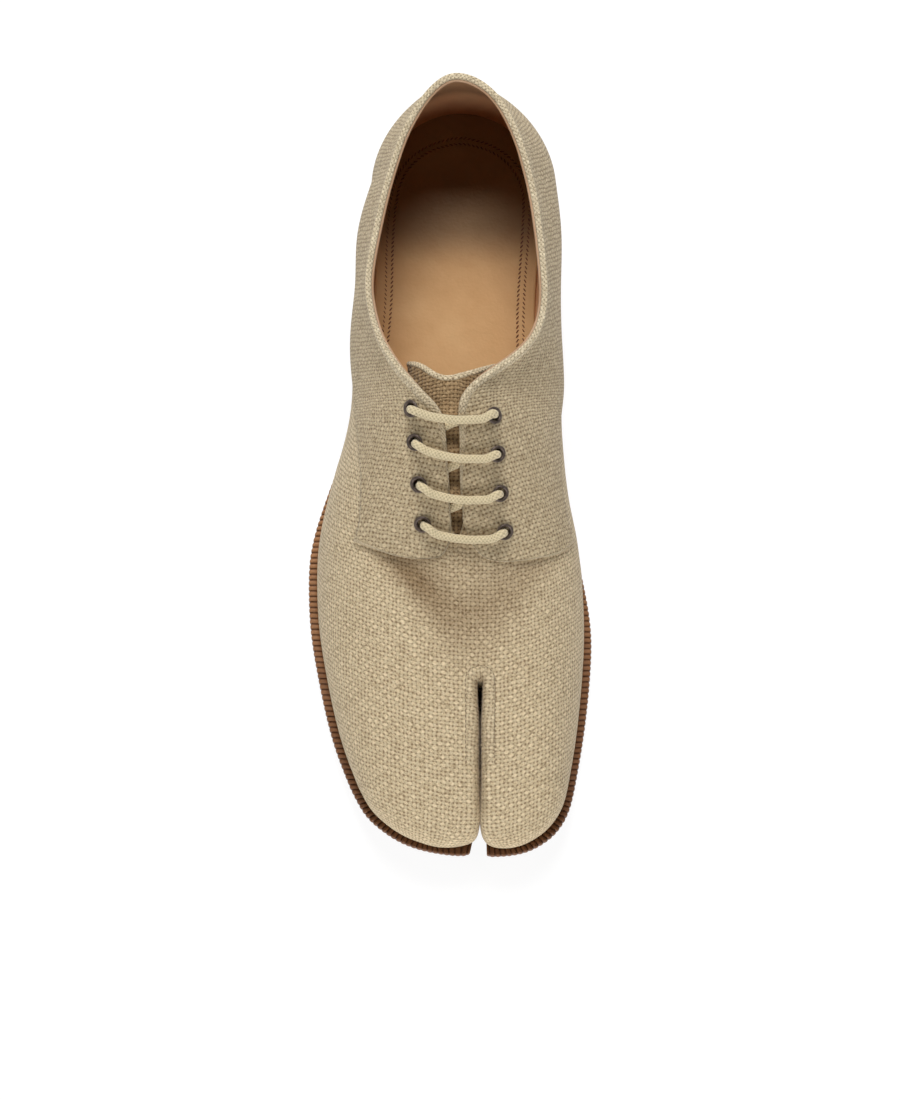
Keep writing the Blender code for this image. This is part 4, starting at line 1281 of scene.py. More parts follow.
edge_points = []
edge_normals = []
edge_widths = []
edge_rises = []
for side in ("lateral", "medial"):
    line, normal = edge_line(side)
    both = even_path(np.concatenate([line, normal], 1), EDGE_PITCH)
    place = np.linspace(0, 1, len(both))
    width = spline(EDGE_WIDTH["place"], EDGE_WIDTH[side], place)
    order = ROUND_HEEL[side]
    edge_points.append(both[order, :3])
    edge_normals.append(unit(both[order, 3:]))
    edge_widths.append(width[order])
    edge_rises.append(np.interp(place, EDGE_RISE["place"], EDGE_RISE["rise"])[order])
edge_path = np.concatenate(edge_points)
edge_wide = np.concatenate(edge_widths)[:, None]
edge_across = EDGE_PROFILE[:, 0] * np.where(EDGE_PROFILE[:, 0] < 0, edge_wide, EDGE_OVERHANG)
edge_rise = np.concatenate(edge_rises)[:, None]
edge_out = np.where(EDGE_PROFILE[:, 1] > 0, EDGE_PROFILE[:, 1] * edge_rise, EDGE_PROFILE[:, 1])
edge_mesh = carried(np.stack([edge_across, edge_out], -1), edge_path, np.concatenate(edge_normals))
edge_round = path_run(EDGE_PROFILE * [EDGE_USUAL_WIDTH, 1.0])
edge_cloth = np.stack(np.broadcast_arrays(edge_round[None, :], path_run(edge_path)[:, None]), -1) / THREAD
edge_linen = linen(
    "edge_linen",
    *EDGE_TONES,
    turn=BIAS,
    pitch=HEM_THREAD,
    deep=0.00025,
    open_weave=0.5,
    tint=("pale", PALE_TINT),
)
turned_edge = make_piece("turned_edge", edge_mesh, capped_tube(*edge_mesh.shape[:2]), edge_linen, edge_cloth)
mark_piece(turned_edge, "pale", lambda points: np.clip((points[:, 1] - PALE_FROM_Y) / PALE_REACH, 0, 1))
finish_piece(turned_edge, "linen", "upper")

# Lining
# Thin tan leather glued to the cloth inside the upper. It ends just below the collar's hem, where a folded
# bead of duller leather shows along the rim.
LINING_THICK = 0.4
LINING_DEEP = 2.2
LINING_TOP = 0.985
LINING_TOP_FADE = 6.0
LINING_CLEAR = 0.1


def lining_top(side, station):
    """Up to the ridge in front of the throat, and just below the top line behind it."""
    s = np.clip((station - THROAT_Y) / LINING_TOP_FADE, 0, 1)
    return 1 - s * (1 - LINING_TOP)


# Painted shade: the lining's colour falls to 0.42 from 50 to 68 mm up, for the shade inside the upper near its
# top line.
LINING_PAINTED_SHADE = ("Z", 0.050, 0.068, 0.42)
LINING_TONES = (0.62, 0.32, 0.16), (0.78, 0.45, 0.24)
lining_leather = leather("lining_leather", *LINING_TONES, roughness=0.55, shine=0.2, painted_shade=LINING_PAINTED_SHADE)
lining_points = upper_sheet(lining_top)[0]
lining_faces = punched(lining_points, grid_faces(*lining_points.shape[:2]))
lining = make_piece("lining", lining_points, lining_faces, lining_leather, None, INSIDE_SHOE)
press(lining, lambda points: np.minimum(vamp_depth(points) - CLOTH_THICK - LINING_CLEAR, -LINING_DEEP))
thicken(lining, LINING_THICK)
finish_piece(lining, "insole_leather", "upper")

BEAD_RADIUS = 0.6
BEAD_FRONT_Y = 14.0
BEAD_SHARE = 0.992
BEAD_BELOW = 0.6
BEAD_DEEP = 2.5
BEAD_AROUND = 12
BEAD_TONES = (0.38, 0.225, 0.125), (0.52, 0.33, 0.20)
bead_line = []
bead_normal = []
for side in ("lateral", "medial"):
    station = np.linspace(BEAD_FRONT_Y, HEEL_STATION, 260)
    share = np.full(len(station), BEAD_SHARE)
    bead_line.append(surface(side, station, share)[ROUND_HEEL[side]])
    bead_normal.append(surface_normal(side, station, share)[ROUND_HEEL[side]])


def circle_profile(steps, radius):
    """A circle as pairs of (across, out)."""
    turn = circle(steps)
    return radius * np.stack([np.cos(turn), np.sin(turn)], -1)


bead_profile = circle_profile(BEAD_AROUND, BEAD_RADIUS) - [BEAD_BELOW, BEAD_DEEP]
bead_mesh = carried(bead_profile[None], np.concatenate(bead_line), np.concatenate(bead_normal))
lining_edge_leather = leather("lining_edge_leather", *BEAD_TONES, roughness=0.55)
lining_edge = make_piece("lining_edge", bead_mesh, capped_tube(*bead_mesh.shape[:2]), lining_edge_leather)
finish_piece(lining_edge, "insole_leather")

# Slit border
# A narrow strip of linen that binds the slit between the toes. It is turned in along the slit and sewn down in
# a U about its root, and it sinks into the vamp towards the toe.
BORDER_WIDE = 5.6
BORDER_HIGH = 0.42
BORDER_ROUND = 1.0
BORDER_ROUND_POWER = 2.5
BORDER_SINK = 0.2
BORDER_TONES = (0.42, 0.32, 0.195), (0.58, 0.465, 0.30), (0.70, 0.585, 0.39)
BORDER_TURN = math.radians(4)
BORDER_THREAD = 0.9
INSIDE_SLIT = (SLIT_X, -95.0, 20.0)
DENSE_SHARE = np.linspace(0, 1, 240)
BORDER_FADE_Y = (-122.0, -106.0)
SEAM_END_Y = -116.0
SEAM_PITCH = 1.9
SEAM_LONG = 1.25
SEAM_THICK = 0.42
SEAM_TONES = (0.16, 0.11, 0.062), (0.27, 0.195, 0.115)
BORDER_ACROSS = np.linspace(0, 1, 30)
BORDER_Y = np.linspace(-121.0, BRANCH_Y, 110)


def slit_distance(points):
    """Plan distance from the slit's middle line, round its root too."""
    return np.hypot(points[..., 0] - SLIT_X, np.maximum(points[..., 1] - ROOT_Y, 0))


def border_lift(points):
    """Height of the strip over the vamp: level, rounded down at its outer edge, fading towards the toe."""
    s = np.clip((slit_distance(points) - BORDER_WIDE + BORDER_ROUND) / BORDER_ROUND, 0, 1)
    low, high = BORDER_FADE_Y
    fade = np.clip((points[:, 1] - low) / (high - low), 0, 1)
    return (BORDER_HIGH * (1 - s**BORDER_ROUND_POWER) + BORDER_SINK) * fade - BORDER_SINK


border_rows = []
for side in ("lateral", "medial"):
    away = slit_distance(slit_surface(side, BORDER_Y[:, None], DENSE_SHARE[None, :]))
    last = np.clip(np.sum(away < BORDER_WIDE, axis=1, keepdims=True) - 1, 0, len(DENSE_SHARE) - 2)
    near, far = (np.take_along_axis(away, last + k, 1) for k in (0, 1))
    reach = (last + (BORDER_WIDE - near) / (far - near)) / (len(DENSE_SHARE) - 1)
    rows = close_slit(slit_surface(side, BORDER_Y[:, None], reach * BORDER_ACROSS))
    border_rows.append(rows if side == "lateral" else rows[::-1][1:])
border_points = np.concatenate(border_rows)
border_cloth = border_points[..., :2] / THREAD
border_linen = linen("border_linen", *BORDER_TONES, turn=BORDER_TURN, pitch=BORDER_THREAD, open_weave=0.7)
border_faces = grid_faces(*border_points.shape[:2])
slit_border = make_piece("slit_border", border_points, border_faces, border_linen, border_cloth, INSIDE_SLIT)
press(slit_border, border_lift)
thicken(slit_border, CLOTH_THICK)
finish_piece(slit_border, "linen", "upper")
seam_rows = border_points[:, -1, 1] > SEAM_END_Y
border_ways = [np.gradient(border_points, axis=axis)[seam_rows, -1] for axis in (0, 1)]
seam_up = np.cross(*border_ways)
seam_up *= np.sign(seam_up[:, 2:])
seam = even_path(np.concatenate([border_points[seam_rows, -1], unit(seam_up)], 1), SEAM_PITCH)
seam_along = unit(np.gradient(seam[:, :3], axis=0))
seam_points, seam_faces = beads(seam[:, :3], seam_along, unit(seam[:, 3:]), SEAM_LONG, SEAM_THICK)
seam_thread = leather("seam_thread", *SEAM_TONES, roughness=0.9, grain=THREAD_GRAIN)
slit_seam = make_piece("slit_seam", seam_points, seam_faces, seam_thread)
finish_piece(slit_seam, "linen")

# Loose fibres
# Short ends of flax that stand out of the worn cloth along both edges of the slit and lean over it. Each is a
# single fibre that has worked loose from a thread and is still held in the weave at its root.
FIBRE_LONG = (1.1, 1.6, 2.2)
FIBRE_THICK = 0.13
FIBRE_COUNT = 50
FIBRE_TOE_Y = -138.0
FIBRE_AWAY = (1.7, 3.4)
FIBRE_ACROSS = (0.2, 1.2)
FIBRE_ALONG = (-0.9, 0.9)
FIBRE_UP = (0.1, 0.9)
FIBRE_ROOT = 0.4
FIBRE_SIDE = (0.3, 0.2, 1.0)
FIBRE_TONES = (0.34, 0.25, 0.14), (0.52, 0.41, 0.255)
chance = np.random.default_rng(11)
fibre_rows = []
for long in FIBRE_LONG:
    for side in ("lateral", "medial"):
        y = chance.uniform(FIBRE_TOE_Y, ROOT_Y, FIBRE_COUNT)
        ribs = slit_surface(side, y[:, None], DENSE_SHARE[None, :])
        beyond = slit_distance(ribs) > chance.uniform(*FIBRE_AWAY, FIBRE_COUNT)[:, None]
        start = close_slit(ribs[np.arange(FIBRE_COUNT), np.argmax(beyond, axis=1)])
        across = chance.uniform(*FIBRE_ACROSS, FIBRE_COUNT)
        along = chance.uniform(*FIBRE_ALONG, FIBRE_COUNT)
        up = chance.uniform(*FIBRE_UP, FIBRE_COUNT)
        lean = unit(np.stack([-OUT[side] * across, along, up], -1))
        square = unit(np.cross(lean, FIBRE_SIDE))
        fibre_rows.append((start + lean * long * FIBRE_ROOT, lean, square, np.full(FIBRE_COUNT, long)))
fibre_frames = [np.concatenate(part) for part in zip(*fibre_rows)]
fibre_points, fibre_faces = beads(*fibre_frames, FIBRE_THICK)
fibre_linen = leather("fibre_linen", *FIBRE_TONES, roughness=0.9, grain=THREAD_GRAIN)
fibres = make_piece("fibres", fibre_points, fibre_faces, fibre_linen)
finish_piece(fibres, "linen")

# Tongue
# A flap of linen under the lacing, sewn in below the throat and coloured darker and browner than the vamp, a
# painted shade. Its free end is curved towards the toe in the middle and finished with a thin rolled hem.
TONGUE_LOW_Y = -52.0
TONGUE_FREE_Y = 7.0
TONGUE_END = table(
    "across y",
    (-1.0, 29.9),
    (-0.79, 27.2),
    (-0.5, 22.1),
    (-0.1, 19.5),
    (0.27, 21.0),
    (0.65, 24.8),
    (1.0, 29.5),
)
TONGUE_SLOPE = 0.24
TONGUE_DROOP = 1.7
TONGUE_DROOP_REACH = 1.2
TONGUE_HALF = 20.0
TONGUE_FLARE = 3.0
TONGUE_LOW_X = 4.0
TONGUE_SHIFT = 2.6
TONGUE_STRETCH = 1.15
# Painted shade: the tongue's linen is coloured darker and browner than the vamp's.
TONGUE_PAINTED_SHADE_TONES = (0.245, 0.155, 0.072), (0.36, 0.237, 0.12), (0.465, 0.327, 0.178)
HEM_TONES = (0.48, 0.38, 0.24), (0.66, 0.54, 0.36), (0.78, 0.67, 0.47)
UNDER_TONGUE = (2.0, -10.0, 20.0)
ARCH_STEP = 1.5
THROAT_LEAST = 1e-6
TONGUE_THICK = 1.8
TONGUE_CLEAR = 0.8
TONGUE_MIDDLE = 1.4
HEM_RADIUS = 1.25
HEM_AROUND = 14


def arch_height(x, y):
    """Height of the upper's outer face, bridged straight across the throat and carried on above the facings,
    where it rises in the middle and droops to the sides."""
    on_y = np.minimum(y, TONGUE_FREE_Y)
    left = top_point("lateral", on_y)
    right = top_point("medial", on_y)
    share = np.clip((x - left[..., 0]) / np.maximum(right[..., 0] - left[..., 0], THROAT_LEAST), 0, 1)
    z = left[..., 2] + (right[..., 2] - left[..., 2]) * share
    z = np.where(x < left[..., 0], height_over("lateral", x, on_y), z)
    z = np.where(x > right[..., 0], height_over("medial", x, on_y), z)
    out = np.minimum(np.abs(x - TONGUE_MIDDLE) / TONGUE_HALF, TONGUE_DROOP_REACH)
    return z + TONGUE_SLOPE * (1 - TONGUE_DROOP * out * out) * (y - on_y)


tongue_along, tongue_across = np.meshgrid(np.linspace(0, 1, 60), np.linspace(-1, 1, 41), indexing="ij")
tongue_end = spline(TONGUE_END["across"], TONGUE_END["y"], tongue_across)
tongue_y = TONGUE_LOW_Y + (tongue_end - TONGUE_LOW_Y) * tongue_along
tongue_half = TONGUE_HALF - TONGUE_FLARE + TONGUE_FLARE * tongue_along
tongue_x = TONGUE_LOW_X - TONGUE_SHIFT * tongue_along + tongue_across * tongue_half
tongue_normal = slope_normal(arch_height, tongue_x, tongue_y, ARCH_STEP)
tongue_face = np.stack([tongue_x, tongue_y, arch_height(tongue_x, tongue_y)], -1)
tongue_points = tongue_face - tongue_normal * (WALL + TONGUE_CLEAR)
tongue_linen = linen("tongue_linen", *TONGUE_PAINTED_SHADE_TONES, deep=0.0004)
tongue_cloth = np.stack([tongue_x, tongue_y * TONGUE_STRETCH], -1) / THREAD
tongue_faces = grid_faces(*tongue_points.shape[:2])
tongue = make_piece("tongue_flap", tongue_points, tongue_faces, tongue_linen, tongue_cloth, UNDER_TONGUE)
thicken(tongue, TONGUE_THICK)
finish_piece(tongue, "tongue_linen", "tongue")
hem_path = tongue_points[-1] - tongue_normal[-1] * TONGUE_THICK / 2
hem_mesh = carried(circle_profile(HEM_AROUND, HEM_RADIUS)[None], hem_path, tongue_normal[-1])
hem_round = circle(HEM_AROUND) * HEM_RADIUS
hem_cloth = np.stack(np.broadcast_arrays(hem_round[None, :], path_run(hem_path)[:, None]), -1) / THREAD
tongue_hem_linen = linen("tongue_hem_linen", *HEM_TONES, turn=BIAS, pitch=HEM_THREAD)
tongue_hem = make_piece("tongue_hem", hem_mesh, capped_tube(*hem_mesh.shape[:2]), tongue_hem_linen, hem_cloth)
finish_piece(tongue_hem, "tongue_linen", "tongue")

# Welts
# Two strips of brown leather sewn on the sole's margin, from the heel's breast to the corners of the slit. A
# hot wheel has pressed them into rounded ribs across the strip, with dark grooves between.
WELT_THICK = 3.0
WELT_WAIST_THICK = 1.3
WELT_END_Y = 84.0
WELT_TOE_SHARE = 0.75
SOLE_SLIT_HALF = 1.0
RIB_PITCH = 2.2
RIB_STEPS = 10
RIB_DEEP = 0.30
RIB_REACH = 0.45
RIB_REACH_POWER = 4
RIB_ROUND = 0.6
WELT_GROWS_Y = (25.0, -20.0)
WELT_TUCK_Y = -20.0
WELT_TUCK_REACH = 30.0
WELT_INNER_CLEAR = 0.1
WELT_OUTER_INSET = 0.2
GROOVE_COLOUR = (0.075, 0.024, 0.007)
WELT_TONES = (0.05, (0.17, 0.070, 0.026)), (0.5, (0.25, 0.112, 0.045)), (1.0, (0.34, 0.165, 0.070))
WELT_LEAN = table(
    "y lean",
    (90, 0.6),
    (50, 0.75),
    (20, 0.75),
    (0, 0.62),
    (-20, 0.58),
    (-44, 0.42),
    (-64, 0.22),
    (-149, 0.12),
)
WELT_PROFILE = np.array(
    [
        (0.0, 0.0),
        (1.0, 0.0),
        (1.0, 0.35),
        (0.99, 0.6),
        (0.95, 0.82),
        (0.86, 0.95),
        (0.7, 1.0),
        (0.35, 0.98),
        (0.12, 0.93),
        (0.0, 0.8),
    ]
)


def welt_thickness(y):
    """Thin at the waist, thicker along the forefoot, eased from one to the other."""
    return WELT_WAIST_THICK + (WELT_THICK - WELT_WAIST_THICK) * ease(y, *WELT_GROWS_Y)


WELT_TOE_PAINTED_SHADE = (9.0, 1.25)
WELT_CLOUD_SCALE = 160.0
WELT_CLOUD_BY = 1.1
GROOVE_EDGE = (1.2, 0.1)
WELT_GRAIN_SCALE = 1400.0
WELT_GRAIN_DEEP = 0.00015


def ribbed_leather(name):
    """Brown leather whose grooves, at whole counts of the first cloth coordinate, are dark. It is lighter
    along the ball of the foot and darker round the toe, a painted shade."""
    made, tree, shader = new_material(name)
    place = object_place(tree)
    count = split(tree, tree.nodes.new("ShaderNodeUVMap").outputs["UV"])
    cloud = noise(tree, place, WELT_CLOUD_SCALE, detail=4.0, roughness=0.6)
    # Painted shade: the tone falls towards -Y, so the welt darkens round the toe.
    reach = maths(tree, "MULTIPLY_ADD", split(tree, place)["Y"], *WELT_TOE_PAINTED_SHADE)
    tone = maths(tree, "MULTIPLY_ADD", maths(tree, "SUBTRACT", cloud, 0.5), WELT_CLOUD_BY, reach)
    colour = ramp(tree, tone, *WELT_TONES)
    rib = maths(tree, "ABSOLUTE", maths(tree, "SINE", maths(tree, "MULTIPLY", count[0], math.pi)))
    groove = maths(tree, "MINIMUM", maths(tree, "MULTIPLY_ADD", rib, *GROOVE_EDGE), 1.0)
    put(tree, shader.inputs["Base Color"], blend(tree, "MIX", groove, (*GROOVE_COLOUR, 1.0), colour))
    shader.inputs["Roughness"].default_value = 0.5
    shader.inputs["Specular IOR Level"].default_value = 0.3
    grain = noise(tree, place, WELT_GRAIN_SCALE, detail=3.0)
    put(tree, shader.inputs["Normal"], bump(tree, grain, WELT_GRAIN_DEEP))
    return made


sole_loop, sole_core = plan_loop("sole", SOLE_SLIT_HALF)
welt_lean = spline(WELT_LEAN["y"], WELT_LEAN["lean"], feather_loop[:, 1]) * welt_thickness(feather_loop[:, 1])
welt_tuck = np.clip((feather_loop[:, 1] - WELT_TUCK_Y) / WELT_TUCK_REACH, 0, 1)
welt_inset = WELT_INNER_CLEAR + welt_tuck * (GAP + np.maximum(welt_lean, 0))
welt_inner = feather_loop + outward_of(feather_loop) * welt_inset[:, None]
welt_outer = sole_loop - outward_of(sole_loop) * WELT_OUTER_INSET
side_count = len(SIDE_Y) + len(TOE_SHARE) - 2 + len(SLIT_Y)
welt_toe = int(WELT_TOE_SHARE * (len(TOE_SHARE) - 1))
welt_rows = np.arange(np.count_nonzero(SIDE_Y > WELT_END_Y), len(SIDE_Y) + welt_toe)
welt_leather = ribbed_leather("welt_leather")
for side in ("lateral", "medial"):
    rows = welt_rows if side == "lateral" else 2 * side_count - 2 - welt_rows
    both = even_path(np.concatenate([welt_outer[rows], welt_inner[rows]], 1), RIB_PITCH / RIB_STEPS)
    outer, inner = both[:, :2], both[:, 2:]
    run = path_run(outer)
    rib = np.abs(np.sin(math.pi * run / RIB_PITCH)) ** RIB_ROUND
    reach = inner[:, None] + (outer - inner)[:, None] * WELT_PROFILE[:, :1]
    away = unit(outer - inner)[:, None]
    reach = reach - away * (RIB_REACH * (1 - rib[:, None, None]) * WELT_PROFILE[:, :1] ** RIB_REACH_POWER)
    high = welt_thickness(inner[:, 1])[:, None] * WELT_PROFILE[:, 1] * (1 - RIB_DEEP * (1 - rib[:, None]))
    points = np.dstack([reach, seat(reach[..., 1]) + GAP + high])
    cloth = np.stack(np.broadcast_arrays((run / RIB_PITCH)[:, None], WELT_PROFILE[:, 0]), -1)
    welt = make_piece(f"welt_ribs_{side}", points, capped_tube(*points.shape[:2]), welt_leather, cloth)
    finish_piece(welt, "welt_leather", f"welt_{side}")

# Outsole
# One sole of brown leather, 5 mm thick, cut to the welt's outline, split between the toes and sewn to the
# welt. Its edge is rounded and waxed, and its underside is arched at the waist.
SOLE_TUCK = 0.9
SOLE_TUCK_Y = -10.0
SOLE_TUCK_REACH = 25.0
SOLE_ROWS = 5
SOLE_TONES = (0.095, 0.038, 0.015), (0.19, 0.085, 0.035)
SOLE_EDGE = np.array(
    [
        (3.0, 0.0),
        (1.2, 0.05),
        (0.4, 0.35),
        (0.05, 0.9),
        (0.0, 1.6),
        (0.0, 3.4),
        (0.05, 4.1),
        (0.4, 4.65),
        (1.2, 4.95),
        (3.0, 5.0),
    ]
)
sole_out = outward_of(sole_loop)
sole_tuck = SOLE_TUCK * np.clip((SOLE_TUCK_Y - sole_loop[:, 1]) / SOLE_TUCK_REACH, 0, 1)
sole_inset = SOLE_EDGE[:, 0] + sole_tuck[:, None]
sole_edge = sole_loop[:, None] - sole_out[:, None] * sole_inset[..., None]
sole_span = between(sole_edge[:, -1], sole_core, np.linspace(0, 1, SOLE_ROWS + 1)[1:])
sole_plan = np.concatenate([sole_span[:, ::-1], sole_edge, sole_span], 1)
sole_rise = np.concatenate([np.zeros(SOLE_ROWS), SOLE_EDGE[:, 1], np.full(SOLE_ROWS, OUTSOLE_THICK)])
sole_points = np.dstack([sole_plan, underside(sole_plan[..., 1]) + sole_rise])
sole_leather = leather("sole_leather", *SOLE_TONES, roughness=0.42, cloud=60.0)
sole_faces = grid_faces(*sole_points.shape[:2], ring=True)
outsole = make_piece("outsole_leather", sole_points, sole_faces, sole_leather)
finish_piece(outsole, "sole_leather", "outsole")

# Heel
# A block of leather lifts glued and nailed under the sole's seat, straight at the breast, a little smaller
# below. The joints between the lifts show as fine dark lines, and the lowest lift is thicker.
BREAST_Y = 88.0
HEEL_INSET = 0.5
HEEL_TAPER = 1.2
LIFT_SHARES = np.array([0.0, 0.26, 0.45, 0.64, 0.82, 1.0])
LIFT_PLACES = np.array([0.0, 0.06, 0.5, 0.94])
LIFT_GROOVE = 0.22
HEEL_ROUND = 20.0
LID_SHARE = 0.02
HEEL_TONES = (0.075, 0.03, 0.012), (0.15, 0.066, 0.027)


def lift_wall():
    """Shares of the height and insets of the heel's wall: level on each lift, cut in at each joint."""
    ends = np.stack([LIFT_SHARES[:-1], LIFT_SHARES[1:]], -1)
    size = ends[:, 1:] - ends[:, :1]
    share = ends[:, :1] + size * LIFT_PLACES
    inset = np.broadcast_to([LIFT_GROOVE, 0.0, 0.0, 0.0], share.shape)
    return np.append(share.ravel(), 1.0), np.append(inset.ravel(), LIFT_GROOVE)


heel_y = np.linspace(BREAST_Y, HEEL_Y, 14)
heel_turn = np.linspace(0, math.pi, 60)[1:-1]
heel_lateral = np.stack([sole_x("lateral", heel_y), heel_y], -1)
heel_medial = np.stack([sole_x("medial", heel_y), heel_y], -1)[::-1]
breast_x = np.linspace(heel_medial[-1, 0], heel_lateral[0, 0], 20)[1:-1]
heel_breast = np.stack([breast_x, np.full(len(breast_x), BREAST_Y)], -1)
heel_loop = np.concatenate([heel_lateral, oval(SOLE_HEEL, heel_turn), heel_medial, heel_breast])
heel_middle = np.array([SOLE_HEEL["x"], HEEL_Y])
heel_away = heel_loop - heel_middle
heel_away[:, 1] = np.maximum(heel_away[:, 1], 0)
heel_away /= np.maximum(np.linalg.norm(heel_away, axis=1, keepdims=True), HEEL_ROUND)
lift_share, lift_inset = lift_wall()
heel_in = HEEL_INSET + HEEL_TAPER * (1 - lift_share) + lift_inset
heel_plan = heel_loop[None] - heel_away[None] * heel_in[:, None, None]
heel_high = (underside(heel_plan[..., 1]) - GAP) * lift_share[:, None]
heel_rows = np.dstack([heel_plan, heel_high])
lid_plan = heel_plan[[0, -1]] * LID_SHARE + heel_middle * (1 - LID_SHARE)
lid_high = np.stack([np.zeros(len(heel_loop)), underside(lid_plan[1, :, 1]) - GAP])
lids = np.dstack([lid_plan, lid_high])
heel_points = np.concatenate([lids[:1], heel_rows, lids[1:]])
heel_faces = grid_faces(*heel_points.shape[:2], tube=True).tolist()
heel_last = (len(heel_points) - 1) * len(heel_loop)
heel_faces += [list(range(len(heel_loop))), list(range(heel_last, heel_last + len(heel_loop)))]
heel_leather = leather("heel_leather", *HEEL_TONES, roughness=0.4, cloud=90.0)
heel = make_piece("heel_lifts", heel_points, heel_faces, heel_leather)
finish_piece(heel, "heel_leather", "heel")

# Eyelets
# Eight rings of dark antiqued metal pressed through the facings: a rolled flange on the cloth and a short
# barrel through it.
EYELET_RING = np.array(
    [
        (2.0, -1.7),
        (2.45, -1.7),
        (2.45, 0.3),
        (3.1, 0.3),
        (3.27, 0.42),
        (3.3, 0.6),
        (3.22, 0.82),
        (3.0, 1.0),
        (2.72, 1.1),
        (2.45, 1.08),
        (2.22, 0.95),
        (2.07, 0.7),
        (2.0, 0.35),
    ]
)
RING_TURN = circle(40)
METAL_TONES = (0.3, (0.062, 0.046, 0.038)), (0.7, (0.15, 0.113, 0.092))
METAL_GLOSS = (0.4, 0.28)
METAL_BLOTCH_SCALE = 900.0
METAL_PITS_SCALE = 2600.0
METAL_PITS_DEEP = 0.00006


def antique_metal(name):
    """Dark metal: blotches between two tones, a roughness that follows them, and fine pits as bump."""
    made, tree, shader = new_material(name)
    place = object_place(tree)
    blotch = noise(tree, place, METAL_BLOTCH_SCALE, detail=4.0, roughness=0.65)
    put(tree, shader.inputs["Base Color"], ramp(tree, blotch, *METAL_TONES))
    shader.inputs["Metallic"].default_value = 0.6
    put(tree, shader.inputs["Roughness"], maths(tree, "MULTIPLY_ADD", blotch, *METAL_GLOSS))
    pits = noise(tree, place, METAL_PITS_SCALE)
    put(tree, shader.inputs["Normal"], bump(tree, pits, METAL_PITS_DEEP))
    return made


gunmetal = antique_metal("gunmetal")
for side in ("lateral", "medial"):
    for row, axis in enumerate(eyelet_axis[side]):
        first = unit(np.cross(axis, [0.0, 1.0, 0.0]))
        second = np.cross(axis, first)
        round_way = np.cos(RING_TURN)[:, None] * first + np.sin(RING_TURN)[:, None] * second
        ring = eyelet_centre[side][row] + round_way[:, None] * EYELET_RING[:, :1] + axis * EYELET_RING[:, 1:]
        faces = grid_faces(*ring.shape[:2], ring=True, tube=True)
        eyelet = make_piece(f"ring_{side}_{row + 1}", ring, faces, gunmetal)
        finish_piece(eyelet, "gunmetal", f"eyelet_{side}_{row + 1}")

# Lace
# One round cord of cream cotton, 3.2 mm thick and braided. It lies in four straight bars across the throat,
# goes under the facings from each bar to the next, and its hidden ends stop at the top eyelets.
LACE_RADIUS = 1.6
LACE_BOW = 3.6
LACE_BOW_POWER = 2.2
BAR_OVER = 2.2
BAR_LIFT = 1.6
BAR_INSIDE = -0.6
UNDER_DEEP = 3.1
LACE_AROUND = 14
LACE_PITCH = 0.55
LACE_ACROSS = (0.0, 1.0, 0.12)
STRAND = 1.4
STRANDS_AROUND = 6
PINCH = 0.22
PINCH_REACH = 2.0
BAR_RIM = np.array([(BAR_INSIDE, 0.35), (1.7, 0.7), (2.9, 2.3)])
BAR_SHARE = np.linspace(0.15, 0.85, 7)
BAR_LIFT_POWER = 3
UNDER_SHARE = np.linspace(0.12, 0.88, 8)
UNDER_EYELET = 2.0
HIDDEN_ASIDE = 3.2
HIDDEN_DEEPER = 0.6
SPLINE_FINE = 8


def bar_end(centre, axis, towards):
    """Points from inside an eyelet, up and over its rim towards the other eyelet."""
    way = towards - centre
    way = unit(way - axis * np.dot(way, axis))
    return centre + axis * BAR_RIM[:, :1] + way * BAR_RIM[:, 1:]


def bar_path(row):
    """Middle line of a bar: bowed towards the toe, lying on the facings, lifted at the eyelets."""
    left = eyelet_centre["lateral"][row]
    right = eyelet_centre["medial"][row]
    plan = left[:2] + (right - left)[:2] * BAR_SHARE[:, None]
    from_middle = np.abs(2 * BAR_SHARE - 1)
    x = plan[:, 0]
    y = plan[:, 1] - LACE_BOW * (1 - from_middle**LACE_BOW_POWER)
    base = np.stack([x, y, arch_height(x, y)], -1)
    lift = BAR_OVER + BAR_LIFT * from_middle**BAR_LIFT_POWER
    over = base + slope_normal(arch_height, x, y, ARCH_STEP) * lift[:, None]
    start = bar_end(left, eyelet_axis["lateral"][row], right)
    end = bar_end(right, eyelet_axis["medial"][row], left)
    return np.concatenate([start, over, end[::-1]])


def under_path(row):
    """Middle line of the run from a medial eyelet down under the facings to the next lateral eyelet."""
    start = eyelet_centre["medial"][row]
    end = eyelet_centre["lateral"][row + 1]
    plan = start[:2] + (end - start)[:2] * UNDER_SHARE[:, None]
    x, y = plan.T
    run = np.stack([x, y, arch_height(x, y)], -1) - slope_normal(arch_height, x, y, ARCH_STEP) * UNDER_DEEP
    down = start - eyelet_axis["medial"][row] * UNDER_EYELET
    up = end - eyelet_axis["lateral"][row + 1] * UNDER_EYELET
    return np.concatenate([down[None], run, up[None]])


def smooth_path(path, pitch):
    """A spline through the points by their length, read at even steps."""
    run = path_run(path)
    fine = np.linspace(0, run[-1], SPLINE_FINE * len(path))
    return even_path(np.stack([spline(run, path[:, k], fine) for k in range(3)], -1), pitch)


BRAID_ROUND = 0.7
BRAID_OVER = 0.4
BRAID_STOPS = (0.42, 0.85)
BRAID_DEEP = 0.0003
FUZZ_SCALE = 2200.0
FUZZ_LIFT = 0.4
LACE_TONES = (0.47, 0.375, 0.215), (0.73, 0.615, 0.395)


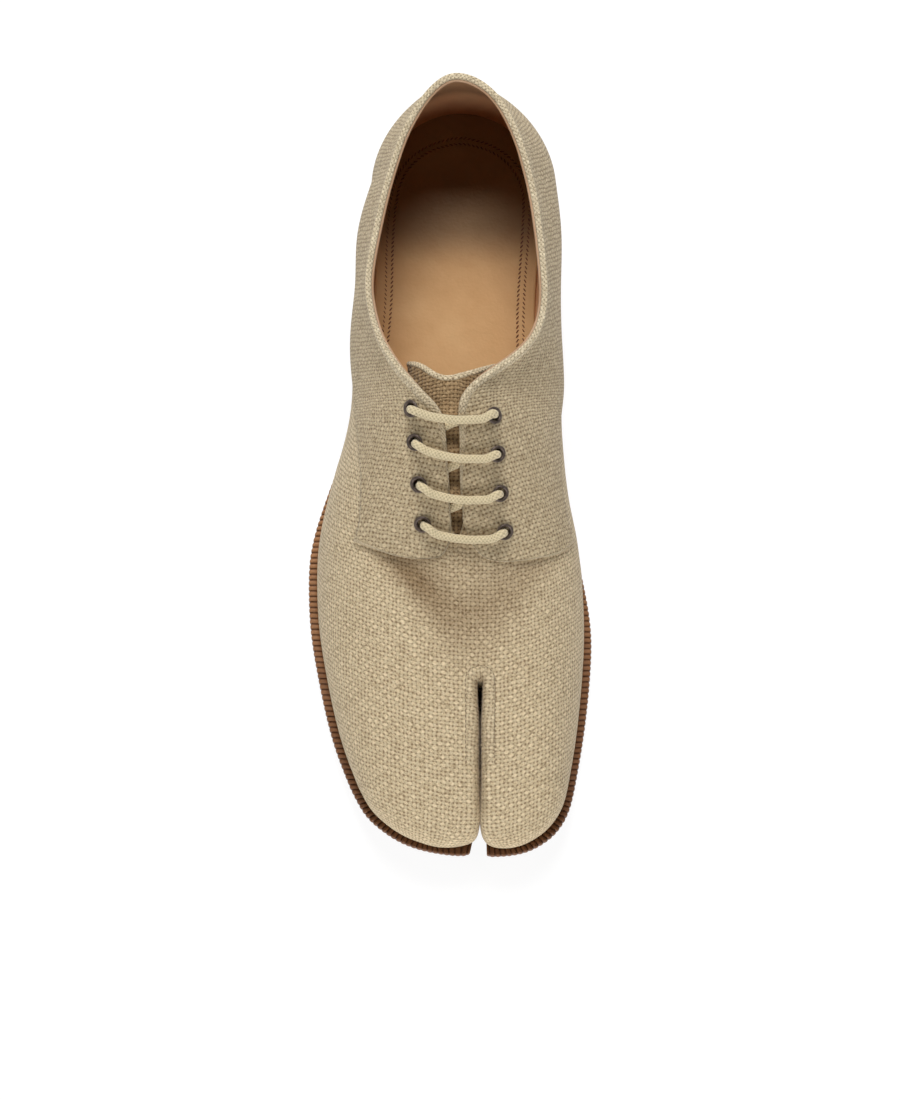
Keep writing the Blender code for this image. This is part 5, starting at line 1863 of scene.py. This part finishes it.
def braided_cotton(name, dark, light):
    """Round braid: strands cross in two slanting families, each a rounded bar, the higher one on top. The
    colour is lighter on the strands' crowns and darker between them, a painted shade of the braid's relief.
    """
    made, tree, shader = new_material(name)
    count = split(tree, tree.nodes.new("ShaderNodeUVMap").outputs["UV"])
    slants = [maths(tree, way, count[1], count[0]) for way in ("ADD", "SUBTRACT")]
    waves = [maths(tree, "SINE", maths(tree, "MULTIPLY", slant, math.pi)) for slant in slants]
    bars = [maths(tree, "POWER", maths(tree, "ABSOLUTE", wave), BRAID_ROUND) for wave in waves]
    over = maths(tree, "MULTIPLY", *waves)
    first = maths(tree, "MULTIPLY_ADD", over, BRAID_OVER, bars[0])
    second = maths(tree, "MULTIPLY_ADD", over, -BRAID_OVER, bars[1])
    height = maths(tree, "MAXIMUM", first, second)
    fuzz = noise(tree, object_place(tree), FUZZ_SCALE, detail=3.0, roughness=0.7)
    # Painted shade of the braid's relief: the tone follows the strands' height.
    tone = maths(tree, "MULTIPLY_ADD", fuzz, 0.5, maths(tree, "MULTIPLY", height, 0.5))
    put(tree, shader.inputs["Base Color"], ramp(tree, tone, *zip(BRAID_STOPS, (dark, light))))
    shader.inputs["Roughness"].default_value = 0.9
    shader.inputs["Sheen Weight"].default_value = 0.2
    fuzzy = maths(tree, "MULTIPLY_ADD", fuzz, FUZZ_LIFT, height)
    put(tree, shader.inputs["Normal"], bump(tree, fuzzy, BRAID_DEEP))
    return made


lace_points = [bar_path(0)]
for row in range(3):
    lace_points += [under_path(row), bar_path(row + 1)]
hidden_x = eyelet_centre["medial"][::-1, 0] + HIDDEN_ASIDE
hidden_y = eyelet_centre["medial"][::-1, 1]
hidden_end = np.stack([hidden_x, hidden_y, height_over("medial", hidden_x, hidden_y)], -1)
hidden_normal = slope_normal(lambda x, y: height_over("medial", x, y), hidden_x, hidden_y, EYELET_STEP)
lace_points.append((eyelet_centre["medial"][3] - eyelet_axis["medial"][3] * UNDER_EYELET)[None])
lace_points.append(hidden_end - hidden_normal * (UNDER_DEEP + HIDDEN_DEEPER))
lace_path = smooth_path(np.concatenate(lace_points), LACE_PITCH)
lace_run = unit(np.gradient(lace_path, axis=0))
lace_up = unit(np.cross(lace_run, LACE_ACROSS))
lace_round = np.linspace(0, 1, LACE_AROUND + 1)
lace_turn = lace_round * 2 * math.pi
lace_profile = LACE_RADIUS * np.stack([np.cos(lace_turn), np.sin(lace_turn)], -1)
every_eyelet = np.concatenate([eyelet_centre[side] for side in ("lateral", "medial")])
lace_away = np.min(np.linalg.norm(lace_path[:, None] - every_eyelet, axis=-1), axis=1)
lace_pinch = 1 - PINCH * np.exp(-((lace_away / PINCH_REACH) ** 2))
lace_mesh = carried(lace_profile[None] * lace_pinch[:, None, None], lace_path, lace_up)
lace_strands = path_run(lace_path)[:, None] / STRAND
lace_cloth = np.stack(np.broadcast_arrays(lace_round[None, :] * STRANDS_AROUND, lace_strands), -1)
lace_faces = grid_faces(*lace_mesh.shape[:2]).tolist()
lace_last = (len(lace_mesh) - 1) * (LACE_AROUND + 1)
lace_faces += [list(range(LACE_AROUND)), list(range(lace_last, lace_last + LACE_AROUND))[::-1]]
lace_cotton = braided_cotton("lace_cotton", *LACE_TONES)
lace = make_piece("lace", lace_mesh, lace_faces, lace_cotton, lace_cloth)
finish_piece(lace, "lace_cotton", "lace_bar_1", "lace_bar_2", "lace_bar_3", "lace_bar_4")

# Floor, light and camera
# A plain white sweep that glows a little, a soft key light from the heel side, weaker ones from both sides, a
# low one from the toe side, and faint surroundings. The camera looks down steeply from the toe side.
FLOOR_REACH = 8000.0
FLOOR_POINTS = 5
FLOOR_TONES = (0.0, (0.14, 0.14, 0.14)), (1.0, (0.16, 0.16, 0.16))
FLOOR_CLOUD_SCALE = 3.0
FLOOR_GLOW = 0.9
BELOW_FLOOR = (0.0, 0.0, -100.0)
WHITE = (1.0, 1.0, 1.0, 1.0)
SURROUNDINGS = 0.02
LIGHT_AIM = np.array([0.0, 0.0, 0.05])
LIGHTS = {
    "key": {"place": (-0.05, 0.98, 1.38), "size": 0.75, "power": 27.0},
    "left": {"place": (-1.3, 0.1, 0.95), "size": 0.9, "power": 4.4},
    "right": {"place": (1.3, 0.1, 0.95), "size": 0.9, "power": 3.6},
    "front": {"place": (0.0, -1.6, 0.3), "size": 0.9, "power": 22.6},
}
CAMERA_PLACE = (0.0009, -0.3145, 1.3014)
CAMERA_TILT = math.radians(14)
CAMERA_LENS = 110.13
CAMERA_SENSOR = 36.0
CAMERA_SHIFT = (-0.0018, -0.0786)
floor_material, floor_tree, floor_shader = new_material("floor_white")
floor_cloud = noise(floor_tree, object_place(floor_tree), FLOOR_CLOUD_SCALE)
floor_tone = ramp(floor_tree, floor_cloud, *FLOOR_TONES)
put(floor_tree, floor_shader.inputs["Base Color"], floor_tone)
floor_shader.inputs["Roughness"].default_value = 0.9
floor_shader.inputs["Emission Color"].default_value = WHITE
floor_shader.inputs["Emission Strength"].default_value = FLOOR_GLOW
floor_side = np.linspace(-FLOOR_REACH, FLOOR_REACH, FLOOR_POINTS)
floor_x, floor_y = np.meshgrid(floor_side, floor_side, indexing="ij")
floor_grid = np.dstack([floor_x, floor_y, np.zeros_like(floor_x)])
floor_faces = grid_faces(FLOOR_POINTS, FLOOR_POINTS)
floor = make_piece("floor", floor_grid, floor_faces, floor_material, None, BELOW_FLOOR)

scene = bpy.context.scene
world = bpy.data.worlds.new("surroundings")
world.use_nodes = True
world.node_tree.nodes["Background"].inputs["Color"].default_value = WHITE
world.node_tree.nodes["Background"].inputs["Strength"].default_value = SURROUNDINGS
scene.world = world


def soft_light(name, place, size, power):
    """Square area light at a place, turned to face the shoe."""
    data = bpy.data.lights.new(name, "AREA")
    data.size = size
    data.energy = power
    made = bpy.data.objects.new(name, data)
    made.location = place
    way = LIGHT_AIM - np.array(place)
    pitch = math.atan2(math.hypot(way[0], way[1]), -way[2])
    turn = math.atan2(way[1], way[0]) - math.pi / 2
    made.rotation_euler = (pitch, 0, turn)
    scene.collection.objects.link(made)


for name, light in LIGHTS.items():
    soft_light(name, **light)
scene.view_settings.view_transform = "Standard"

camera_data = bpy.data.cameras.new("camera")
camera_data.lens = CAMERA_LENS
camera_data.sensor_width = CAMERA_SENSOR
camera_data.shift_x, camera_data.shift_y = CAMERA_SHIFT
camera = bpy.data.objects.new("camera", camera_data)
camera.location = CAMERA_PLACE
camera.rotation_euler = (CAMERA_TILT, 0, 0)
scene.collection.objects.link(camera)
scene.camera = camera
